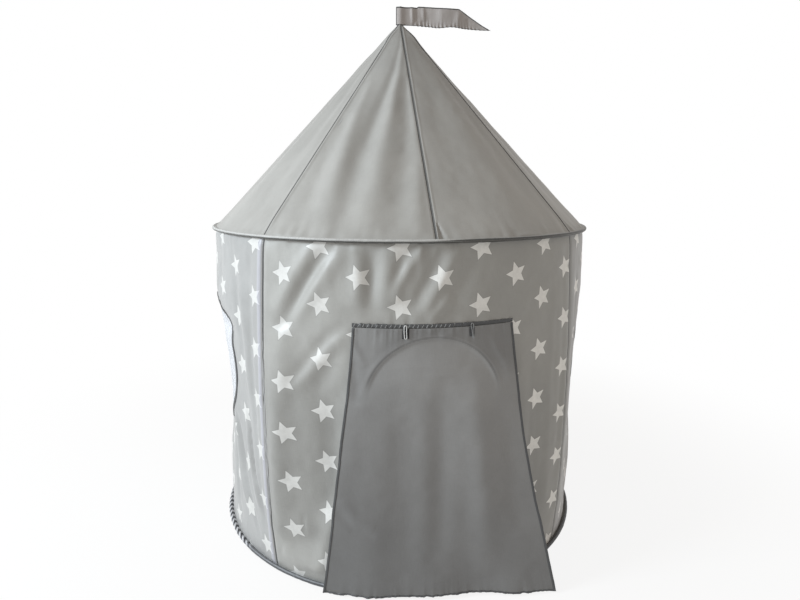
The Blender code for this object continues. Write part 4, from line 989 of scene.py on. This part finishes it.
def flap_strip(name, across_at, down_at, count, rows, thick, rough=0.0, puff=0.0005, cloth=tape_cloth):
    """A folded tape on the flap's edge, with its edges turned in."""
    t, w = np.meshgrid(np.linspace(0, 1, count), np.linspace(-1, 1, rows), indexing="ij")
    across, down = across_at(t, w), np.clip(down_at(t, w), 0, 1)
    ruck = noise(t, w * 0.1, 0.012, 3) * 0.0004 + noise(t, w * 0.02, 0.0062, 5) * rough
    p = flap_grid(across, down, thick * np.sqrt(np.clip(1 - w**2, 0, 1)) + puff + ruck)
    span = running_length(p[:, rows // 2])[:, None]
    maps = {"cloth": (span, w * 0.002), "seam": ((1 - np.abs(w)) * 0.003, span)}
    shell(name, p, maps, [cloth], ("edge_tape", None, ON_FLAP), thick=0.0008,
          flip=across[0, -1] < across[0, 0] or down[0, -1] > down[0, 0])


SIDE_TAPE = 0.0030
for side, label in SIDES:
    flap_strip(f"flap_{label}_tape", lambda t, w: side + (w - 0.6 * side) * SIDE_TAPE / flap_half(t),
               lambda t, w: t * 0.998 + 0.001, 220, 7, 0.0011)
flap_strip("flap_hem_tape", lambda t, w: (2 * t - 1) * 0.996,
           lambda t, w: 0.9964 + w * 0.0034, 460, 7, 0.0009, 0.0011)

HEADER_SEEN = 0.0090
HEADER_SWELL = 0.0026
STITCH_SLANT = 0.0098
STITCH_FRONT = 0.42


def header_ruck(at):
    calm = 0.35 + 0.65 * smooth((0.08 - at) / 0.06)
    return calm * (noise(at, 0, 0.0060, 2) + 0.6 * noise(at, 0, 0.0030, 3))


def header_swell(at, t):
    return HEADER_SWELL * np.sqrt(np.clip(1 - (2 * t - 1) ** 2, 0, 1)) * (1 + 0.34 * header_ruck(at))


def build_header():
    """The gathered seam that sews the flap's head to the wall, with its slanted stitches."""
    a = np.linspace(-HEAD_LEFT - 0.001, HEAD_RIGHT + 0.001, 420)[:, None]
    t = np.linspace(0, 1, 13)
    z = HEADER_Z - 0.0004 + t * HEADER_SEEN + 0.0012 * header_ruck(a) * (t - 0.3)
    maps = {"cloth": (a, z), "seam": (0.0052 + np.abs(t - 0.5) * 0.006, a)}
    shell("door_head_seam", round_points(a / WALL_R, WALL_R + 0.0006 + header_swell(a, t), z), maps,
          [tape_cloth], ("edge_tape", "door_header", "tent"), thick=0.0010)
    at = np.linspace(-HEAD_LEFT + 0.002, HEAD_RIGHT - 0.002, 700)
    phase = (at / STITCH_SLANT) % 1
    front, behind = phase < STITCH_FRONT, (phase - STITCH_FRONT) / (1 - STITCH_FRONT)
    high = 0.0008 + (HEADER_SEEN - 0.0014) * np.where(front, phase / STITCH_FRONT, 1 - behind)
    under = np.where(front, 0.0, -0.0030 * np.sin(math.pi * np.clip(behind, 0, 1)) ** 0.5)
    over = header_swell(at, high / HEADER_SEEN) - 0.0006 * smooth((at - 0.02) / 0.03)
    stitches = round_points(at / WALL_R, WALL_R + 0.0006 + over + under, HEADER_Z - 0.0004 + high)
    tube("door_head_stitching", stitches, 0.00058, 6, thread_cord, "tent")


build_header()

LOOP_OVER = 0.0072
LOOP_HALF = 0.0026
LOOP_CORD_R = 0.0010


def build_loop(side, arc, length, splay, material, shadow_tab, shadow_tab_half):
    """A thin elastic cord loop over the flap's head: its sewn end, its hanging part, and a dark tab behind
    it that stands in for its shadow.
    """
    top, half = HEADER_Z + LOOP_OVER, LOOP_HALF
    head = HEAD_LEFT if arc < 0 else HEAD_RIGHT

    def at(x, z):
        fall = (top - z) / length
        a = arc + x * (1 - splay * 0.75 * fall) + splay * 0.0035 * fall
        a += 0.0010 * math.sin((top - z) * 90 + arc * 40)
        down = max(0.0, (FLAP_HEAD - z) / (FLAP_HEAD - HEM_Z))
        flap, _, ripple = flap_points(np.array(a / head), np.array(down))
        r = math.hypot(flap[0], flap[1]) + ripple + 0.0052
        r += splay * 0.0010 * math.sin(9 * fall) * (1 if x > 0 else -1)
        return r * math.sin(a / WALL_R), -r * math.cos(a / WALL_R), z

    def strand(x, start, end, count):
        return [(x, z) for z in np.linspace(start, end, count)]

    def bend(way, middle):
        return [(half * math.cos(t), middle + way * half * math.sin(t))
                for t in np.linspace(0, math.pi, 9)[1:-1]]

    split, low = HEADER_Z - 0.0035, top - length + half
    sewn = strand(half, split + 0.0001, top - half, 4) + bend(1, top - half)
    sewn += strand(-half, top - half, split + 0.0001, 4)
    hanging = strand(half, split - 0.0001, low, 12) + bend(-1, low) + strand(-half, low, split - 0.0001, 12)
    tube(f"flap_{side}_sewn_end", [at(x, z) for x, z in sewn], LOOP_CORD_R, 10, material, "tent")
    tube(f"flap_{side}_loop", [at(x, z) for x, z in hanging], LOOP_CORD_R, 10, material, f"loop_{side}",
         f"tie_loop_{side}")
    # painted shadow: a dark tab behind the loop, where the loop's shadow falls
    flap_strip(f"flap_{side}_loop_shadow_tab", lambda t, w: (arc + 0.0004 + shadow_tab_half * w) / head,
               lambda t, w: 0.001 + 0.034 * t, 30, 9, 0.0004, cloth=shadow_tab)


# painted light and shade: the left loop's cord pale as if lit, the right loop's cord dark as if shaded
build_loop("left", LOOP_LEFT, length=0.0290, splay=0.0, material=painted_lit_cord, shadow_tab=shadow_tab_cloth,
           shadow_tab_half=0.0072)
build_loop("right", LOOP_RIGHT, length=0.0325, splay=1.0, material=painted_shade_cord, shadow_tab=tape_cloth,
           shadow_tab_half=0.0060)

# Flag

FLAG_LEFT, FLAG_TOP_END, FLAG_TIP = -0.0110, 0.167, 0.257
FLAG_FOLDS = fold_list(
    (4.5, 3, 32, 1432, 35, 1382),
    (5, -2.8, 47, 1432, 46, 1386),
    (6, 3.2, 64, 1432, 66, 1390),
    (10, 2.2, 112, 1430, 116, 1384),
    (8, 2.6, 166, 1420, 158, 1380),
    (6, -2, 190, 1404, 196, 1380),
)


def build_flag():
    """The pennant, its pocket over the mast and its gathered lower hem."""
    x = (FLAG_LEFT + (FLAG_TIP - FLAG_LEFT) * np.linspace(0, 1, 260))[:, None]
    v = np.linspace(0, 1, 44)
    low = 1.3775 - 0.004 * np.clip((x - 0.03) / 0.218, 0, 1) ** 2
    low = low - 0.0028 * bell(x - 0.108, 0.022) + 0.0012 * bell(x - 0.15, 0.02)
    high = 1.4250 - 0.0014 * bell(x, 0.024) + 0.0030 * smooth((x - 0.045) / 0.008)
    high = high - 0.0022 * smooth((x - 0.075) / 0.05)
    round_off = (x - FLAG_TOP_END) * (1.3735 - 1.4262) / (FLAG_TIP - FLAG_TOP_END)
    high = np.minimum(high, 1.4262 + round_off - 0.0010 * bell(x - FLAG_TOP_END, 0.010))
    x, z = np.broadcast_arrays(x, low + (high - low) * v)
    pocket = 0.0052 * bell(x, 0.0110)
    wave = 0.0042 * np.sin(2 * math.pi * 1.5 * (x - 0.028) / 0.220) * smooth((x - 0.02) / 0.06)
    ruffle = np.sin(x * 2 * math.pi / 0.0105 + 1.3 * np.sin(x * 70)) + 0.5 * noise(x, 0, 0.006, 2)
    ruffle = 0.0022 * ruffle * fading(v * 0.05, 0.0055 + 0.0035 * noise(x, 0, 0.02, 4))
    front = wave - pocket - ruffle * smooth((x - 0.024) / 0.02) - folded(x, z, FLAG_FOLDS)
    front = front - 0.0009 * noise(x, z, 0.022, 1) * smooth((x - 0.02) / 0.03)
    slant = (high - z) * 0.8
    hem = np.minimum(np.minimum(z - low + 0.0010, slant + 0.0002), (x - FLAG_LEFT) * 1.4 + 0.0009)
    fits = ("plain_cloth", "flag", "pennant")
    obj = shell("flag_cloth_front", points(x, front, z), {"cloth": (x, z), "seam": (hem, x)},
                [flag_cloth], fits)
    behind = np.flatnonzero(x[:, 0] < 0.034)[::-1]
    x, z, hem, back = x[behind], z[behind], hem[behind], (wave + pocket + 0.0006)[behind]
    part = shell("flag_cloth_back", points(x, back, z), {"cloth": (x, z), "seam": (hem, x)},
                 [flag_cloth], ("plain_cloth", None, "pennant"))


build_flag()

# Channels, toggles and fittings

POLE_DEPTH = 0.0130
SLEEVE_R = 0.0062
SLEEVE_HALF = 0.0135
SLEEVE_STITCH = 0.0092


def channel_section():
    """A channel's cut: a flange sewn down on each side, and the cloth's way round the pole."""
    flange = [(-SLEEVE_HALF, 0.0017), (-0.0112, 0.0015), (-SLEEVE_STITCH, 0.0015), (-0.0075, 0.0040)]
    turn = np.linspace(math.pi * 1.06, -math.pi * 0.06, 17)
    round_pole = [(SLEEVE_R * math.cos(t), POLE_DEPTH + SLEEVE_R * max(math.sin(t), -0.5)) for t in turn]
    return np.array(flange + round_pole + [(-x, y) for x, y in reversed(flange)])


def build_channel(name, node, turn, low, high, place, seed):
    """A cloth channel sewn behind a seam, puckered along its two rows of stitches."""
    section = channel_section()
    across, inward = section.T
    length = math.dist(low, high)
    t = np.linspace(0, 1, 220)[:, None]
    run = t * length
    slack = smooth((inward - 0.003) / 0.004)
    wrinkle = noise(run + seed, 0, 0.014, 2) + 0.6 * noise(run + seed, across * 3, 0.007, 5)
    inward = inward + 0.0005 * wrinkle * slack
    stitch = np.abs(np.abs(across) - SLEEVE_STITCH) + 0.0034 + 0.002 * slack
    across = across * (1 + 0.05 * noise(run, seed, 0.011, 3))
    across = across * (1 - 0.03 * fading(np.minimum(run, length - run), 0.010))
    maps = {"cloth": (run, running_length(section)), "seam": (stitch, run)}
    shell(name, place(low, high, t, across, inward, turn), maps, [lining_cloth],
          ("plain_cloth", node, "tent"), thick=0.0004)


def up_the_wall(low, high, t, across, inward, turn):
    """Points of an upright's channel; low and high are (radius, height)."""
    z = low[1] + (high[1] - low[1]) * t
    sewn = 1 - smooth((inward - 0.0020) / 0.0030)
    r = low[0] + sewn * corner_bow(np.abs(across), z) - inward
    return turned(across, -r, z, turn + sewn * seam_lean(turn + across / WALL_R, z))


def up_the_roof(low, high, t, across, inward, turn):
    """Points of a rafter's channel; it follows the roof's slope and its roundness."""
    r = low[0] + (high[0] - low[0]) * t
    deep = inward + (r - np.sqrt(r**2 - across**2)) * math.sin(SLOPE)
    z = low[1] + (high[1] - low[1]) * t - deep * math.cos(SLOPE)
    return turned(across, deep * math.sin(SLOPE) - r, z, turn)


for k, corner in enumerate(("front_right", "back_right", "back_left", "front_left")):
    turn = (k + 0.5) * QUARTER
    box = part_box("upright_sleeve_" + corner)
    build_channel("upright_channel_" + corner, "upright_sleeve_" + corner, turn,
                  (WALL_R, box[0][2]), (WALL_R, box[1][2]), up_the_wall, 0.31 * k)
    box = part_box("rafter_sleeve_" + corner)
    ends = [(ROOF_FOOT_R - ROOF_RUN * (height - ROOF_FOOT_Z) / ROOF_RISE, height)
            for height in (box[0][2] + 0.0135, box[1][2] + 0.0010)]
    build_channel("rafter_channel_" + corner, "rafter_sleeve_" + corner, turn, *ends, up_the_roof,
                  0.31 * k + 0.15)

BARREL_R, BARREL_HALF, BARREL_DEPTH = 0.0042, 0.0130, 0.0058
CORD_DEPTH, TOGGLE_CORD_R = 0.0021, 0.0009


def build_toggle(side, arc):
    """A turned toggle tied on a cord that is sewn to the inside of the wall."""
    turn, node, body = arc / WALL_R, f"tie_toggle_{side}", f"toggle_{side}"
    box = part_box(node)
    top, barrel_z = box[1][2], box[0][2] + BARREL_R
    along = np.linspace(-1, 1, 41)
    radius = 0.0041 * np.clip(1 - np.abs(along) ** 7, 0, 1) ** 0.5 * (0.90 + 0.10 * np.abs(along))
    radius = np.maximum(radius - 0.0009 * bell(along, 0.10), 0.0004)
    tube(body + "_barrel", turned(BARREL_HALF * along, BARREL_DEPTH - WALL_R, barrel_z, turn), radius, 20,
         plastic, body, node)
    t = np.linspace(0, 1, 18)
    fall = [0.0011 * np.sin(2.2 * math.pi * t), CORD_DEPTH + (BARREL_DEPTH - CORD_DEPTH) * t,
            top - 0.0012 - (top - barrel_z - 0.0052) * t]
    t = np.linspace(0, 2 * math.pi * 0.94, 15)
    knot = [0.0003 + 0 * t, BARREL_DEPTH + BARREL_R * np.sin(t), barrel_z + BARREL_R * np.cos(t)]
    x, depth, z = np.concatenate([fall, knot], axis=1)
    tube(body + "_cord", turned(x, depth - WALL_R, z, turn), TOGGLE_CORD_R, 8, cord, body)


build_toggle("left", TOGGLE_LEFT)
build_toggle("right", TOGGLE_RIGHT)

for name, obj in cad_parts.items():
    if not obj.hide_render:
        hard = (steel if "ferrule" in name
                else plastic if name.startswith(("elbow", "foot_cap", "hub")) else fibre)
        obj.data.materials.clear()
        obj.data.materials.append(hard)

# Floor, light and camera


def seen_directly(g):
    """1 for rays from the camera and for those that gloss or glass sends on."""
    path = g.tree.nodes.new("ShaderNodeLightPath").outputs
    glossy = g.math("MAXIMUM", path["Is Glossy Ray"], path["Is Transmission Ray"])
    return g.math("MAXIMUM", path["Is Camera Ray"], glossy)


def build_floor_and_world():
    """A pale floor that keeps the shadow, and a world; both look white to the camera."""
    bpy.ops.mesh.primitive_plane_add(size=60, location=(0, 0, -0.0004))
    ground = bpy.context.object
    ground.name = "studio_floor"
    g = Graph(bpy.data.materials.new("studio_white"))
    g.set(Base_Color=(0.80, 0.80, 0.80), Roughness=0.9, Specular_IOR_Level=0.1)
    ground.data.materials.append(g.owner)
    away = g.node("VectorMath", 1, {0: g.node("TexCoord", 3)}, operation="LENGTH")
    glow = g.node("Emission", 0, {"Color": (1.0, 1.0, 1.0), "Strength": 1.0})
    share = g.mul(seen_directly(g), g.span(away, 0.70, 1.9, 0.87, 1.0))
    mixed = g.node("MixShader", 0, {0: share, 1: g.shader.outputs[0], 2: glow})
    g.link(mixed, g.tree.nodes["Material Output"].inputs[0])
    world = bpy.context.scene.world = bpy.data.worlds.new("studio")
    g = Graph(world)
    plain = g.tree.nodes["Background"]
    g.link((1.0, 0.922, 0.832), plain.inputs[0])
    g.link(WORLD_STRENGTH, plain.inputs[1])
    white = g.node("Background", 0, {0: (1.0, 1.0, 1.0), 1: 1.0})
    mixed = g.node("MixShader", 0, {0: seen_directly(g), 1: plain.outputs[0], 2: white})
    g.link(mixed, g.tree.nodes["World Output"].inputs[0])


WORLD_STRENGTH = 0.52
LAMP, LAMP_TARGET, LAMP_SIZE, LAMP_POWER = (-3.3, -1.05, 2.1), (0, 0, 0.75), 1.1, 143
CAMERA = (-0.2566, -1.6765, 0.9546)
PITCH, ROLL = 0.2033, 0.0035
FOCAL_PX, CENTRE_PX, WIDTH_PX = 572.1, 399.1, 800


def place_object(name, data):
    obj = bpy.data.objects.new(name, data)
    bpy.context.scene.collection.objects.link(obj)
    return obj


def build_lamp():
    data = bpy.data.lights.new("key", "AREA")
    data.shape = "RECTANGLE"
    data.size = data.size_y = LAMP_SIZE
    data.energy = LAMP_POWER
    data.color = (0.845, 0.935, 1.0)
    lamp = place_object("key", data)
    lamp.location = LAMP
    lamp.rotation_euler = (Vector(LAMP_TARGET) - Vector(LAMP)).to_track_quat("-Z", "Y").to_euler()


def build_camera():
    data = bpy.data.cameras.new("camera")
    data.sensor_width = 36
    data.lens = FOCAL_PX / WIDTH_PX * 36
    data.shift_x = (WIDTH_PX / 2 - CENTRE_PX) / WIDTH_PX
    data.clip_start = 0.05
    camera = place_object("camera", data)
    yaw = math.atan2(-CAMERA[0], -CAMERA[1])
    forward = Vector((math.sin(yaw) * math.cos(PITCH), math.cos(yaw) * math.cos(PITCH), -math.sin(PITCH)))
    turn = forward.to_track_quat("-Z", "Y").to_matrix().to_4x4()
    camera.matrix_world = Matrix.Translation(CAMERA) @ turn @ Matrix.Rotation(ROLL, 4, "Z")
    bpy.context.scene.camera = camera


build_floor_and_world()
build_lamp()
build_camera()
bpy.context.scene.view_settings.view_transform = "Standard"
